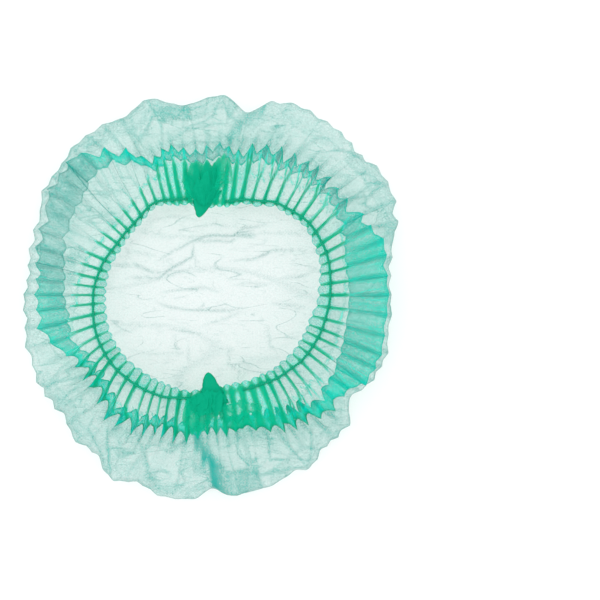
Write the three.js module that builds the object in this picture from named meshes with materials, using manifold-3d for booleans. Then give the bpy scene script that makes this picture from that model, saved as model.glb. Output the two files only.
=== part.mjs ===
// A disposable bouffant hair cap, spread open on a table with its mouth upwards.
// One sheet of nonwoven cloth makes the whole bag: a crown that lies flat, an outer edge that
// turns up, a fold that doubles back on itself, and a pleated rim with a short frill. Two
// elastic threads run round the mouth, one on each side, and meet at the two end gathers,
// where the pleats are bunched and welded together with a short tail.
// Millimetres, +Z up, the cap resting on Z = 0 with the middle of its outline at X = Y = 0.

import * as THREE from "three";
import { mergeVertices } from "three/addons/utils/BufferGeometryUtils.js";
import Module from "manifold-3d";

// Sizes in plan
const CAP_RADIUS = 156; // mean radius of the outer edge
const MOUTH_RADIUS = 87; // mean radius of the elastic ring
const FRILL_WIDTH = 9.5; // cloth left free inside the elastic
const EDGE_TURN = 12; // how far in from the outer edge the cloth reaches the table
const FLAT_CENTRE_RADIUS = 43; // the middle of the crown, free of creases
const CREASED_RADIUS = 62; // from here out the creases have their full height

// Heights of the cloth's middle surface above the table
const TOP_LAYER_HEIGHT = 32;
const FRILL_HEIGHT = TOP_LAYER_HEIGHT - 1.5;
const RING_HEIGHT = TOP_LAYER_HEIGHT - 2.5; // the elastic draws the pleats down
const MIDDLE_LAYER_HEIGHT = 23.5;
const LOWER_LAYER_HEIGHT = 16;
const CREST_HEIGHT = (TOP_LAYER_HEIGHT + MIDDLE_LAYER_HEIGHT) / 2;
const TUCK_HEIGHT = (MIDDLE_LAYER_HEIGHT + LOWER_LAYER_HEIGHT) / 2;
const EDGE_HEIGHT = 8;
const EDGE_SHOULDER_HEIGHT = 12.5;
const EDGE_FOOT_HEIGHT = 3;
const FOLD_NOSE = 3.2; // how far each fold bulges past the layers that it joins

// Cloth and its folds
const WALL = 1; // modelled thickness of the cloth
const PLEATS = 72; // accordion pleats round the mouth
const PLEAT_HEIGHT = 2.2; // half the height of a pleat
const PLEAT_DEPTH = 4; // half the plan depth of the zigzag where a pleat folds over
const PLEAT_DRIFT = 0.7; // uneven pleat spacing, in degrees
const DRIFT_WAVES = [
  { count: 5, phase: 0 },
  { count: 11, phase: 40 },
];
const FAN_TURN = 4.5; // how far the pleats lean towards the end gathers, in degrees
const BILLOW_HEIGHT = 2.6; // how much higher the cloth stands at a full dent of the outline
const FULL_DENT = 0.1; // a full dent, as a share of CAP_RADIUS
const CREASE_HEIGHT = 2.2; // packing creases across the crown
const CREASE_WIDTH = 9;
const MOST_MITRE = 1.7; // longest corner of the cloth's faces, in half walls

// Elastic threads and end gathers
const ELASTIC_DIAMETER = 2;
const ELASTIC_SIDES = 6;
const SEAT_GAP = 0.4; // clearance between a piece and the cloth that carries it
const END_GAP = 0.4; // clearance between an elastic's end and its gather
const GATHER_EDGE = 2.8; // height of a gather's sides above the cloth
const GATHER_PEAK = 8.5; // height of its middle
const GATHER_FLUTE = 0.8; // half the height of the flutes of bunched cloth
const GATHER_SEAT_PLEAT = 0.3; // share of the pleat height left under a gather
const GATHER_EASE = 6; // columns beside a gather over which the pleats regain their height
const GATHER_SHOULDER = 0.3; // share of a gather's length that its outer rounded corners take
const GATHER_INNER_SHOULDER = 0.1; // the same at the frill
const GATHER_RIM_STEPS = 0.6; // how round a gather's rim is, in steps of its surface
const TAIL_THICKNESS = 3.2;
const TAIL_LIFT = 0.3; // of a tail's underside above its gather's seat
const TAIL_LENGTH = 17; // from the elastic towards the middle of the mouth
const TAIL_WIDTH = 13;
const TAIL_ROOT = 8; // how far a tail's root reaches into its gather
const TAIL_OUTLINE = { waist: 0.45, waistWidth: 0.84, shoulder: 0.9 }; // shares of length and root

// The outer edge, lobe by lobe and dent by dent: radius as a share of CAP_RADIUS.
const OUTLINE = [
  { angle: 0, radius: 0.93 },
  { angle: 8, radius: 0.935 },
  { angle: 15, radius: 0.97 },
  { angle: 22, radius: 1.025 },
  { angle: 30, radius: 1.08 },
  { angle: 36, radius: 1.085 },
  { angle: 43, radius: 1.05 },
  { angle: 52, radius: 1.075 },
  { angle: 65, radius: 1.07 },
  { angle: 71, radius: 1.045 },
  { angle: 78, radius: 0.955 },
  { angle: 86, radius: 1.025 },
  { angle: 97, radius: 0.975 },
  { angle: 107, radius: 1.05 },
  { angle: 115, radius: 1.005 },
  { angle: 122, radius: 1.02 },
  { angle: 131, radius: 1.025 },
  { angle: 140, radius: 1.0 },
  { angle: 147, radius: 0.995 },
  { angle: 156, radius: 0.95 },
  { angle: 165, radius: 0.935 },
  { angle: 172, radius: 0.92 },
  { angle: 184, radius: 0.935 },
  { angle: 196, radius: 0.96 },
  { angle: 208, radius: 0.975 },
  { angle: 219, radius: 0.955 },
  { angle: 227, radius: 0.995 },
  { angle: 234, radius: 0.985 },
  { angle: 242, radius: 1.055 },
  { angle: 249, radius: 1.015 },
  { angle: 257, radius: 1.045 },
  { angle: 266, radius: 1.04 },
  { angle: 271, radius: 0.98 },
  { angle: 277, radius: 1.025 },
  { angle: 287, radius: 1.02 },
  { angle: 296, radius: 0.99 },
  { angle: 300, radius: 1.015 },
  { angle: 308, radius: 0.97 },
  { angle: 317, radius: 0.97 },
  { angle: 324, radius: 0.885 },
  { angle: 334, radius: 0.945 },
  { angle: 342, radius: 0.95 },
  { angle: 351, radius: 0.93 },
];

// The mouth: the elastic's radius as a share of MOUTH_RADIUS, the frill as a share of FRILL_WIDTH.
const MOUTH = [
  { angle: 0, ring: 1.11, frill: 1.0 },
  { angle: 20, ring: 1.145, frill: 0.75 },
  { angle: 35, ring: 1.135, frill: 0.5 },
  { angle: 50, ring: 1.065, frill: 0.4 },
  { angle: 65, ring: 0.955, frill: 0.4 },
  { angle: 80, ring: 0.865, frill: 0.4 },
  { angle: 92, ring: 0.84, frill: 0.4 },
  { angle: 105, ring: 0.91, frill: 0.5 },
  { angle: 120, ring: 0.975, frill: 0.4 },
  { angle: 135, ring: 0.935, frill: 0.4 },
  { angle: 150, ring: 0.945, frill: 0.5 },
  { angle: 165, ring: 1.0, frill: 0.75 },
  { angle: 180, ring: 1.035, frill: 1.0 },
  { angle: 200, ring: 1.065, frill: 1.15 },
  { angle: 215, ring: 1.065, frill: 1.25 },
  { angle: 230, ring: 1.035, frill: 1.25 },
  { angle: 245, ring: 1.0, frill: 1.1 },
  { angle: 258, ring: 0.945, frill: 0.6 },
  { angle: 270, ring: 0.89, frill: 0.6 },
  { angle: 285, ring: 0.89, frill: 0.6 },
  { angle: 300, ring: 0.93, frill: 0.7 },
  { angle: 315, ring: 0.99, frill: 0.9 },
  { angle: 330, ring: 1.045, frill: 1.1 },
  { angle: 345, ring: 1.08, frill: 1.25 },
];

// The doubled-back fold: its crest and its tuck, as shares of the way from the ring to the outline.
const FOLD = [
  { angle: 0, crest: 0.94, tuck: 0.31 },
  { angle: 15, crest: 0.88, tuck: 0.25 },
  { angle: 25, crest: 0.6, tuck: 0.29 },
  { angle: 32, crest: 0.46, tuck: 0.31 },
  { angle: 45, crest: 0.48, tuck: 0.34 },
  { angle: 58, crest: 0.49, tuck: 0.37 },
  { angle: 70, crest: 0.52, tuck: 0.4 },
  { angle: 80, crest: 0.54, tuck: 0.43 },
  { angle: 92, crest: 0.5, tuck: 0.4 },
  { angle: 102, crest: 0.51, tuck: 0.41 },
  { angle: 112, crest: 0.44, tuck: 0.34 },
  { angle: 120, crest: 0.57, tuck: 0.45 },
  { angle: 127, crest: 0.76, tuck: 0.62 },
  { angle: 134, crest: 0.92, tuck: 0.64 },
  { angle: 145, crest: 0.92, tuck: 0.59 },
  { angle: 155, crest: 0.89, tuck: 0.6 },
  { angle: 165, crest: 0.88, tuck: 0.52 },
  { angle: 177, crest: 0.82, tuck: 0.44 },
  { angle: 190, crest: 0.77, tuck: 0.36 },
  { angle: 198, crest: 0.6, tuck: 0.36 },
  { angle: 205, crest: 0.4, tuck: 0.23 },
  { angle: 215, crest: 0.35, tuck: 0.19 },
  { angle: 225, crest: 0.36, tuck: 0.22 },
  { angle: 231, crest: 0.57, tuck: 0.42 },
  { angle: 238, crest: 0.43, tuck: 0.28 },
  { angle: 250, crest: 0.42, tuck: 0.28 },
  { angle: 260, crest: 0.43, tuck: 0.31 },
  { angle: 270, crest: 0.42, tuck: 0.3 },
  { angle: 285, crest: 0.42, tuck: 0.28 },
  { angle: 298, crest: 0.51, tuck: 0.31 },
  { angle: 308, crest: 0.61, tuck: 0.41 },
  { angle: 318, crest: 0.72, tuck: 0.54 },
  { angle: 326, crest: 0.9, tuck: 0.55 },
  { angle: 334, crest: 0.92, tuck: 0.4 },
  { angle: 345, crest: 0.92, tuck: 0.33 },
];

// The cloth from the frill to the table. Each row lies between two curves of the plan, from and
// to, at a share of the way, moved out by nose, a share of FOLD_NOSE, at a height. Then come
// ripple as a share of PLEAT_HEIGHT, zigzag of PLEAT_DEPTH, billow of BILLOW_HEIGHT and fan of
// FAN_TURN. Last is how crisp the row is: 1 keeps its pleats all round, 0 only at the sides.
const ROWS = [
  ["ring", "frill", 1, 0, FRILL_HEIGHT, 0.55, -0.25, 0, -0.2, 1],
  ["ring", "ring", 0, 0, RING_HEIGHT, 0.55, 0, 0, 0, 1],
  ["ring", "crest", 0.5, 0, TOP_LAYER_HEIGHT, 1, 0, 0, 0.5, 1],
  ["crest", "crest", 0, -1, TOP_LAYER_HEIGHT, 0.9, 1, 0.3, 1, 1],
  ["crest", "crest", 0, 0, CREST_HEIGHT, 0.9, 1, 0.3, 1, 1],
  ["crest", "crest", 0, -1, MIDDLE_LAYER_HEIGHT, 0.9, 1, 0.3, 1, 1],
  ["tuck", "tuck", 0, 1, MIDDLE_LAYER_HEIGHT, 0.9, 0.6, 0.3, 1, 1],
  ["tuck", "tuck", 0, 0, TUCK_HEIGHT, 0.9, 0.6, 0.4, 1, 1],
  ["tuck", "tuck", 0, 1, LOWER_LAYER_HEIGHT, 0.9, 0.6, 0.6, 1, 1],
  ["tuck", "outline", 0.6, 0, LOWER_LAYER_HEIGHT, 0.9, 0, 1, 0.8, 0.45],
  ["outline", "outline", 0, -1, EDGE_SHOULDER_HEIGHT, 0.5, 0.4, 1, 0.6, 0.2],
  ["outline", "outline", 0, 0, EDGE_HEIGHT, 0.2, 0.5, 0.5, 0.5, 0.2],
  ["outline", "foot", 0.35, 0, EDGE_FOOT_HEIGHT, 0, 0.4, 0, 0.4, 0.2],
  ["foot", "foot", 0, 0, WALL / 2, 0, 0.2, 0, 0.3, 0],
].map(([from, to, share, nose, height, ripple, zigzag, billow, fan, crisp]) => {
  return { from, to, share, nose, height, ripple, zigzag, billow, fan, crisp };
});
const ELASTIC_ROW = 1;
const CREST_ROW = 3;
const FOOT_ROW = ROWS.length - 1;

// The crown inside the foot: each ring's radius as a share of the foot's, and its columns.
const CROWN_RINGS = [
  { share: 0.86, columns: PLEATS },
  { share: 0.72, columns: PLEATS },
  { share: 0.58, columns: PLEATS },
  { share: 0.44, columns: PLEATS / 2 },
  { share: 0.3, columns: PLEATS / 2 },
];

// Packing creases that run across the crown: place as a share of MOUTH_RADIUS from the middle,
// tilt in degrees, and height as a share of CREASE_HEIGHT.
const CREASES = [
  { place: 1.1, tilt: 4, height: 0.8 },
  { place: 0.66, tilt: -7, height: 1 },
  { place: 0.4, tilt: 5, height: 0.7 },
  { place: -0.34, tilt: -4, height: 0.9 },
  { place: -0.7, tilt: 6, height: 0.7 },
  { place: -1.15, tilt: -3, height: 0.9 },
];

// The two end gathers: the first and last pleat each bunches, and its tail's direction, its
// length as a share of TAIL_LENGTH, and its width at the root and tip as shares of TAIL_WIDTH.
const GATHERS = [
  {
    name: "end_gather_rear",
    firstPleat: 16,
    lastPleat: 21,
    tail: { angle: 96, length: 0.95, root: 0.7, tip: 0.5 },
  },
  {
    name: "end_gather_front",
    firstPleat: 52,
    lastPleat: 60,
    tail: { angle: 270, length: 1.05, root: 1.3, tip: 0.3 },
  },
];
const GATHER_ROW_STEPS = 2; // rows of the gather between two rows of the cloth

const COLUMNS = 2 * PLEATS; // one column on each ridge and one in each valley

const radians = THREE.MathUtils.degToRad;
const lerp = THREE.MathUtils.lerp;

// A table's value at an angle, eased between its rows all the way round.
function around(table, key, angle) {
  const wrapped = THREE.MathUtils.euclideanModulo(angle, 360);
  const last = table.length - 1;
  let i = last;
  while (i > 0 && table[i].angle > wrapped) i--;
  const here = table[i];
  const next = i === last ? { ...table[0], angle: table[0].angle + 360 } : table[i + 1];
  const share = (wrapped - here.angle) / (next.angle - here.angle);
  return lerp(here[key], next[key], THREE.MathUtils.smoothstep(share, 0, 1));
}

// Radii of the plan's curves at an angle.
function planAt(angle) {
  const ring = MOUTH_RADIUS * around(MOUTH, "ring", angle);
  const outline = CAP_RADIUS * around(OUTLINE, "radius", angle);
  return {
    ring,
    outline,
    frill: ring - FRILL_WIDTH * around(MOUTH, "frill", angle),
    crest: lerp(ring, outline, around(FOLD, "crest", angle)),
    tuck: lerp(ring, outline, around(FOLD, "tuck", angle)),
    foot: outline - EDGE_TURN,
  };
}

// The angle of a column at the ring, with the pleats' uneven spacing.
function columnAngle(column) {
  const even = (column * 360) / COLUMNS;
  const drifts = DRIFT_WAVES.map(({ count, phase }) => Math.sin(radians(count * even + phase)));
  return even + PLEAT_DRIFT * drifts.reduce((sum, drift) => sum + drift, 0);
}

// 1 on a ridge's column and -1 in a valley's.
const ridgeOrValley = (column) => (column % 2 === 0 ? 1 : -1);

// How much of the pleat height is left at a column near the gathers, which press the pleats flat.
function seatShare(column) {
  const near = Math.min(
    ...GATHERS.map(({ firstPleat, lastPleat }) => {
      const middle = firstPleat + lastPleat;
      return Math.abs(column - middle) - (lastPleat - firstPleat);
    }),
  );
  return lerp(GATHER_SEAT_PLEAT, 1, THREE.MathUtils.smoothstep(near, 0, GATHER_EASE));
}

// A point of the cloth's middle surface.
function clothPoint(row, column) {
  const side = ridgeOrValley(column);
  const atRing = columnAngle(column);
  const angle = atRing + row.fan * FAN_TURN * Math.sin(radians(GATHERS.length * atRing));
  const plan = planAt(angle);
  const sides = Math.cos(radians(angle)) ** 2;
  const pleat = side * seatShare(column) * lerp(sides, 1, row.crisp);
  const dent = (1 - plan.outline / CAP_RADIUS) / FULL_DENT;
  const onRow = lerp(plan[row.from], plan[row.to], row.share) + row.nose * FOLD_NOSE;
  const radius = onRow + row.zigzag * PLEAT_DEPTH * pleat;
  const height = row.height + row.ripple * PLEAT_HEIGHT * pleat + row.billow * BILLOW_HEIGHT * dent;
  return onPlan(radius, angle, height);
}

function onPlan(radius, angle, height) {
  return new THREE.Vector3(radius * Math.cos(radians(angle)), radius * Math.sin(radians(angle)), height);
}

// How far the packing creases lift the crown at a place.
function creaseLift(x, y) {
  const calm = THREE.MathUtils.smoothstep(Math.hypot(x, y), FLAT_CENTRE_RADIUS, CREASED_RADIUS);
  const lifts = CREASES.map(({ place, tilt, height }) => {
    const away = y - place * MOUTH_RADIUS - x * Math.tan(radians(tilt));
    return height * Math.exp(-((away / CREASE_WIDTH) ** 2));
  });
  return calm * CREASE_HEIGHT * Math.max(...lifts);
}

// A ring of the crown, as points that lie on the table or on a crease.
function crownRing({ share, columns }) {
  return Array.from({ length: columns }, (_, i) => {
    const angle = columnAngle((i * COLUMNS) / columns);
    const radius = share * planAt(angle).foot;
    const point = onPlan(radius, angle, WALL / 2);
    point.z += creaseLift(point.x, point.y);
    return point;
  });
}

// Triangles between two rings of points whose counts are equal or in the ratio 2 to 1.
function stitch(outer, outerStart, inner, innerStart) {
  const ratio = outer / inner;
  const faces = [];
  for (let i = 0; i < inner; i++) {
    const here = innerStart + i;
    const next = innerStart + ((i + 1) % inner);
    const edge = Array.from({ length: ratio + 1 }, (_, k) => outerStart + ((i * ratio + k) % outer));
    edge.slice(1).forEach((end, k) => faces.push([edge[k], here, end]));
    faces.push([here, next, edge[ratio]]);
  }
  return faces;
}

// The middle surface of the whole bag: points, triangles facing out, and each point's row.
function clothSurface() {
  const rings = [
    ...ROWS.map((row) => Array.from({ length: COLUMNS }, (_, column) => clothPoint(row, column))),
    ...CROWN_RINGS.map(crownRing),
    [new THREE.Vector3(0, 0, WALL / 2)],
  ];
  const points = rings.flat();
  const starts = [];
  let count = 0;
  for (const ring of rings) {
    starts.push(count);
    count += ring.length;
  }
  const faces = [];
  for (let i = 0; i < rings.length - 2; i++) {
    faces.push(...stitch(rings[i].length, starts[i], rings[i + 1].length, starts[i + 1]));
  }
  const lastRing = rings[rings.length - 2].length;
  const lastStart = starts[rings.length - 2];
  for (let i = 0; i < lastRing; i++) {
    faces.push([lastStart + i, count - 1, lastStart + ((i + 1) % lastRing)]);
  }
  const onTable = points.map((_, i) => i >= starts[FOOT_ROW]);
  return { points, faces, onTable };
}

// The way from the middle surface to the outer face at each point, half a wall thick. On the
// table it is straight down, so that the underside lies flat.
function wallOffsets({ points, faces, onTable }) {
  const normals = points.map(() => new THREE.Vector3());
  const flat = faces.map(([a, b, c]) => {
    const normal = new THREE.Vector3().crossVectors(
      points[b].clone().sub(points[a]),
      points[c].clone().sub(points[a]),
    );
    return normal.normalize();
  });
  faces.forEach((face, i) => face.forEach((p) => normals[p].add(flat[i])));
  normals.forEach((normal) => normal.normalize());
  const least = points.map(() => 1);
  faces.forEach((face, i) => {
    for (const p of face) least[p] = Math.min(least[p], normals[p].dot(flat[i]));
  });
  return normals.map((normal, i) => {
    if (onTable[i]) return new THREE.Vector3(0, 0, -WALL / 2);
    return normal.clone().multiplyScalar(WALL / 2 / Math.max(least[i], 1 / MOST_MITRE));
  });
}

function geometryOf(points, faces) {
  const geometry = new THREE.BufferGeometry();
  const coordinates = points.flatMap((p) => p.toArray());
  geometry.setAttribute("position", new THREE.Float32BufferAttribute(coordinates, 3));
  geometry.setIndex(faces.flat());
  return geometry;
}

// The cloth as one solid wall, closed along the frill's edge.
function capBody(surface, offsets) {
  const { points, faces } = surface;
  const outer = points.map((p, i) => p.clone().add(offsets[i]));
  const inner = points.map((p, i) => p.clone().sub(offsets[i]));
  const n = points.length;
  const walls = [
    ...faces,
    ...faces.map(([a, b, c]) => [a + n, c + n, b + n]),
  ];
  for (let i = 0; i < COLUMNS; i++) {
    const next = (i + 1) % COLUMNS;
    walls.push([i, next, next + n], [i, next + n, i + n]);
  }
  return geometryOf([...outer, ...inner], walls);
}

// A gather's column range, in columns of the cloth.
const gatherColumns = ({ firstPleat, lastPleat }) => [2 * firstPleat, 2 * lastPleat];

// The bunched pleats of one end: a fluted mound with rounded corners, which seats on the cloth
// from the frill to the crest.
function gatherMound(gather, outerFace) {
  const [first, last] = gatherColumns(gather);
  const across = last - first;
  const steps = CREST_ROW * GATHER_ROW_STEPS;
  const bottom = [];
  const top = [];
  for (let j = 0; j <= across; j++) {
    const swell = Math.sin((Math.PI * j) / across);
    const corner = CREST_ROW * (1 - Math.sqrt(swell));
    for (let k = 0; k <= steps; k++) {
      const reach = lerp(GATHER_INNER_SHOULDER * corner, CREST_ROW - GATHER_SHOULDER * corner, k / steps);
      const row = Math.min(Math.floor(reach), CREST_ROW - 1);
      const seat = new THREE.Vector3().lerpVectors(
        outerFace(row, first + j),
        outerFace(row + 1, first + j),
        reach - row,
      );
      seat.z += SEAT_GAP;
      const along = (k + GATHER_RIM_STEPS) / (steps + 2 * GATHER_RIM_STEPS);
      const rise = Math.sqrt(swell * Math.sin(Math.PI * along));
      const flute = j > 0 && j < across ? GATHER_FLUTE * ridgeOrValley(first + j) : 0;
      bottom.push(seat);
      top.push(seat.clone().setZ(seat.z + lerp(GATHER_EDGE, GATHER_PEAK, rise) + flute));
    }
  }
  const n = bottom.length;
  const line = steps + 1;
  const faces = [];
  for (let j = 0; j < across; j++) {
    for (let k = 0; k < steps; k++) {
      const [a, b, c, d] = [j * line + k, j * line + k + 1, (j + 1) * line + k + 1, (j + 1) * line + k];
      faces.push([a + n, b + n, c + n], [a + n, c + n, d + n], [a, c, b], [a, d, c]);
    }
  }
  const rim = [];
  for (let k = 0; k < steps; k++) rim.push(k);
  for (let j = 0; j < across; j++) rim.push(j * line + steps);
  for (let k = steps; k > 0; k--) rim.push(across * line + k);
  for (let j = across; j > 0; j--) rim.push(j * line);
  rim.forEach((a, i) => {
    const b = rim[(i + 1) % rim.length];
    faces.push([a, b, b + n], [a, b + n, a + n]);
  });
  return geometryOf([...bottom, ...top], faces);
}

// A gather's tail: a flat tapered tongue from inside the mound towards the middle of the mouth.
function gatherTail({ angle, length, root, tip }, rootHeight) {
  const { waist, waistWidth, shoulder } = TAIL_OUTLINE;
  const reach = length * TAIL_LENGTH;
  const [rootHalf, tipHalf] = [(root * TAIL_WIDTH) / 2, (tip * TAIL_WIDTH) / 2];
  const outline = new THREE.Shape();
  outline.moveTo(-TAIL_ROOT, -rootHalf);
  outline.lineTo(reach * waist, -rootHalf * waistWidth);
  outline.lineTo(reach * shoulder, -tipHalf);
  outline.lineTo(reach, 0);
  outline.lineTo(reach * shoulder, tipHalf);
  outline.lineTo(reach * waist, rootHalf * waistWidth);
  outline.lineTo(-TAIL_ROOT, rootHalf);
  const tongue = new THREE.ExtrudeGeometry(outline, { depth: TAIL_THICKNESS, bevelEnabled: false });
  tongue.rotateZ(radians(angle + 180));
  const foot = onPlan(planAt(angle).ring, angle, rootHeight);
  return tongue.translate(foot.x, foot.y, foot.z);
}

const wasm = await Module();
wasm.setup();

// A closed geometry as a solid that can be joined or cut.
function solidOf(geometry) {
  const bare = geometry.clone();
  bare.deleteAttribute("normal");
  bare.deleteAttribute("uv");
  const merged = mergeVertices(bare, 1e-4);
  return new wasm.Manifold(
    new wasm.Mesh({
      numProp: 3,
      vertProperties: new Float32Array(merged.attributes.position.array),
      triVerts: new Uint32Array(merged.index.array),
    }),
  );
}

function geometryFrom(solid) {
  const mesh = solid.getMesh();
  const geometry = new THREE.BufferGeometry();
  geometry.setAttribute("position", new THREE.BufferAttribute(new Float32Array(mesh.vertProperties), 3));
  geometry.setIndex(new THREE.BufferAttribute(new Uint32Array(mesh.triVerts), 1));
  return geometry;
}

// One elastic thread: it lies across the ridges from one gather's side to the next one's.
function elastic(fromGather, toGather, outerFace) {
  const from = gatherColumns(fromGather)[1];
  const to = gatherColumns(toGather)[0] + (toGather === GATHERS[0] ? COLUMNS : 0);
  const lift = SEAT_GAP + ELASTIC_DIAMETER / 2;
  const points = [];
  for (let column = from; column <= to; column += 2) {
    const ridge = outerFace(ELASTIC_ROW, column % COLUMNS);
    points.push(ridge.clone().setZ(ridge.z + lift));
  }
  const ends = [
    [points[0], points[1]],
    [points[points.length - 1], points[points.length - 2]],
  ];
  for (const [end, towards] of ends) {
    end.add(towards.clone().sub(end).setLength(END_GAP));
  }
  const path = new THREE.CatmullRomCurve3(points);
  const corners = Array.from({ length: ELASTIC_SIDES }, (_, i) => {
    const turn = (2 * Math.PI * i) / ELASTIC_SIDES;
    return new THREE.Vector2(Math.cos(turn), Math.sin(turn)).multiplyScalar(ELASTIC_DIAMETER / 2);
  });
  return new THREE.ExtrudeGeometry(new THREE.Shape(corners), {
    steps: points.length - 1,
    bevelEnabled: false,
    extrudePath: path,
  });
}

const surface = clothSurface();
const offsets = wallOffsets(surface);

// A point of the cloth's outer face, by row and column.
function outerFace(row, column) {
  const i = row * COLUMNS + (column % COLUMNS);
  return surface.points[i].clone().add(offsets[i]);
}

// The highest point of the frill and the ring under a gather.
function clothTopUnder(gather) {
  const [first, last] = gatherColumns(gather);
  let top = 0;
  for (let column = first; column <= last; column++) {
    top = Math.max(top, outerFace(0, column).z, outerFace(ELASTIC_ROW, column).z);
  }
  return top;
}

const clothColour = new THREE.MeshStandardMaterial({ color: 0x8fdcc8, roughness: 0.85, metalness: 0 });
const gatherColour = new THREE.MeshStandardMaterial({ color: 0x06a983, roughness: 0.85, metalness: 0 });
const elasticColour = new THREE.MeshStandardMaterial({ color: 0x0b9c78, roughness: 0.6, metalness: 0 });

const cap = new THREE.Group();
cap.name = "disposable_bouffant_cap";

function addPiece(name, geometry, material) {
  const mesh = new THREE.Mesh(geometry, material);
  mesh.name = name;
  cap.add(mesh);
}

const [rear, front] = GATHERS;
addPiece("cap_body", capBody(surface, offsets), clothColour);
for (const gather of GATHERS) {
  const rootHeight = clothTopUnder(gather) + SEAT_GAP + TAIL_LIFT;
  const mound = solidOf(gatherMound(gather, outerFace));
  const tail = solidOf(gatherTail(gather.tail, rootHeight));
  addPiece(gather.name, geometryFrom(mound.add(tail)), gatherColour);
}
addPiece("elastic_left", elastic(rear, front, outerFace), elasticColour);
addPiece("elastic_right", elastic(front, rear, outerFace), elasticColour);

// The middle of the outline goes to X = Y = 0.
const box = new THREE.Box3().setFromObject(cap);
const middle = box.getCenter(new THREE.Vector3());
for (const piece of cap.children) piece.position.set(-middle.x, -middle.y, 0);

export default cap;
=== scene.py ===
# %% [markdown]
# # A disposable bouffant cap, spread open on a table
# The real cap is one thin sheet of spunbond polypropylene. It was pleated like an accordion, an
# elastic loop was stitched along the pleats, and both ends were bunched and welded. Pulled open,
# it lies with its mouth upwards: a single layer of cloth in the middle, and round it a puffed
# ring in which three or four layers lie over each other. The cloth is so thin that its colour
# comes almost only from how many layers the eye looks through, so this file models the layers as
# real geometry and lets their see-through finish add up, where a painted colour would look flat.

# %% Load the frame
import bpy
import math
import numpy as np
from collections import namedtuple
from mathutils import Matrix, Vector, noise


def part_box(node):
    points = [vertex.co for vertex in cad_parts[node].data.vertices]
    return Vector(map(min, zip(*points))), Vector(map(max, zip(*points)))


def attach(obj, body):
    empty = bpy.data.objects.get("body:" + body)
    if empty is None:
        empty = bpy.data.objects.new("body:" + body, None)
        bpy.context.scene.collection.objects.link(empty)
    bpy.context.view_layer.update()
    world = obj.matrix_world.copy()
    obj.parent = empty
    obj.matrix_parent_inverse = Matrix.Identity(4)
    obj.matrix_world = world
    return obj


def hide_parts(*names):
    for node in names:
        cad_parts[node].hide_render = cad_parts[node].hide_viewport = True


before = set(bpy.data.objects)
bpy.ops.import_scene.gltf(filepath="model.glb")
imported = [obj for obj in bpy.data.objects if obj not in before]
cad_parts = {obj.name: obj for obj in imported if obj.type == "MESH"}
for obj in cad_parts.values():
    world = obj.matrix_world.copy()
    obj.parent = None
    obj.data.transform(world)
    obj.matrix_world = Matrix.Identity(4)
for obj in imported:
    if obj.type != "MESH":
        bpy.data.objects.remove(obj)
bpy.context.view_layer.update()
MM = 0.001
print("frame nodes:", ", ".join(sorted(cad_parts)))

# %% [markdown]
# ## Camera, table and light
# The photograph looks straight down on a white sheet, from far away. A long lens keeps the
# puffed rim from leaning outwards. The light is a bright softbox almost overhead in a white
# surround, so that the table stays white and the folds keep only a little shade.

# %% Camera
PIXEL = 0.79 * MM  # real size of one pixel of the 600 pixel wide photograph
PHOTO_SIDE = 600
PHOTO_CENTRE = (208, 296)  # where the middle of the mouth's plan lies in the photograph
CAMERA_HEIGHT = 2.4
CLOTH_LEVEL = 0.02  # the height that the photograph's scale was read at
SENSOR = 36.0


def add_object(name, data):
    """A new object in the scene."""
    thing = bpy.data.objects.new(name, data)
    bpy.context.collection.objects.link(thing)
    return thing


def add_camera(plan_centre):
    """A camera over the middle of the photograph, looking straight down."""
    data = bpy.data.cameras.new("photo_camera")
    data.sensor_width = SENSOR
    data.lens = SENSOR * (CAMERA_HEIGHT - CLOTH_LEVEL) / (PHOTO_SIDE * PIXEL)
    camera = add_object("photo_camera", data)
    right = (PHOTO_SIDE / 2 - PHOTO_CENTRE[0]) * PIXEL
    up = (PHOTO_CENTRE[1] - PHOTO_SIDE / 2) * PIXEL
    camera.location = (plan_centre[0] + right, plan_centre[1] + up, CAMERA_HEIGHT)
    bpy.context.scene.camera = camera
    return camera


# %% Colours and nodes
def linear(hex_colour):
    """An sRGB hex colour as linear red, green, blue and alpha."""
    channels = [int(hex_colour[i : i + 2], 16) / 255 for i in (1, 3, 5)]
    return [c / 12.92 if c <= 0.04045 else ((c + 0.055) / 1.055) ** 2.4 for c in channels] + [1.0]


def add_node(tree, kind, inputs=None, **settings):
    """Adds a node with its settings; an input is a value, or another node's output to link."""
    node = tree.nodes.new(kind)
    for name, value in settings.items():
        setattr(node, name, value)
    for name, value in (inputs or {}).items():
        if isinstance(value, bpy.types.NodeSocket):
            tree.links.new(value, node.inputs[name])
        else:
            node.inputs[name].default_value = value
    return node


def new_material(name):
    """An empty node material and its tree."""
    material = bpy.data.materials.new(name)
    material.use_nodes = True
    material.node_tree.nodes.clear()
    return material, material.node_tree


# %% Table and lights
TABLE_SIDE = 6.0


def add_table():
    """A plain white table top under the cap."""
    s = TABLE_SIDE / 2
    mesh = bpy.data.meshes.new("table")
    mesh.from_pydata([(-s, -s, 0), (s, -s, 0), (s, s, 0), (-s, s, 0)], [], [(0, 1, 2, 3)])
    table = add_object("table", mesh)
    material, tree = new_material("white_card")
    card = add_node(tree, "ShaderNodeBsdfPrincipled", {
        "Base Color": linear("#F3F3F3"), "Roughness": 0.9, "Specular IOR Level": 0.1})
    add_node(tree, "ShaderNodeOutputMaterial", {"Surface": card.outputs[0]})
    mesh.materials.append(material)


def add_softbox(name, location, side, power):
    """A square area light that faces the cap."""
    data = bpy.data.lights.new(name, "AREA")
    data.size = side
    data.energy = power
    lamp = add_object(name, data)
    lamp.location = location
    lamp.rotation_euler = (-Vector(location)).to_track_quat("-Z", "Y").to_euler()


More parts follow.
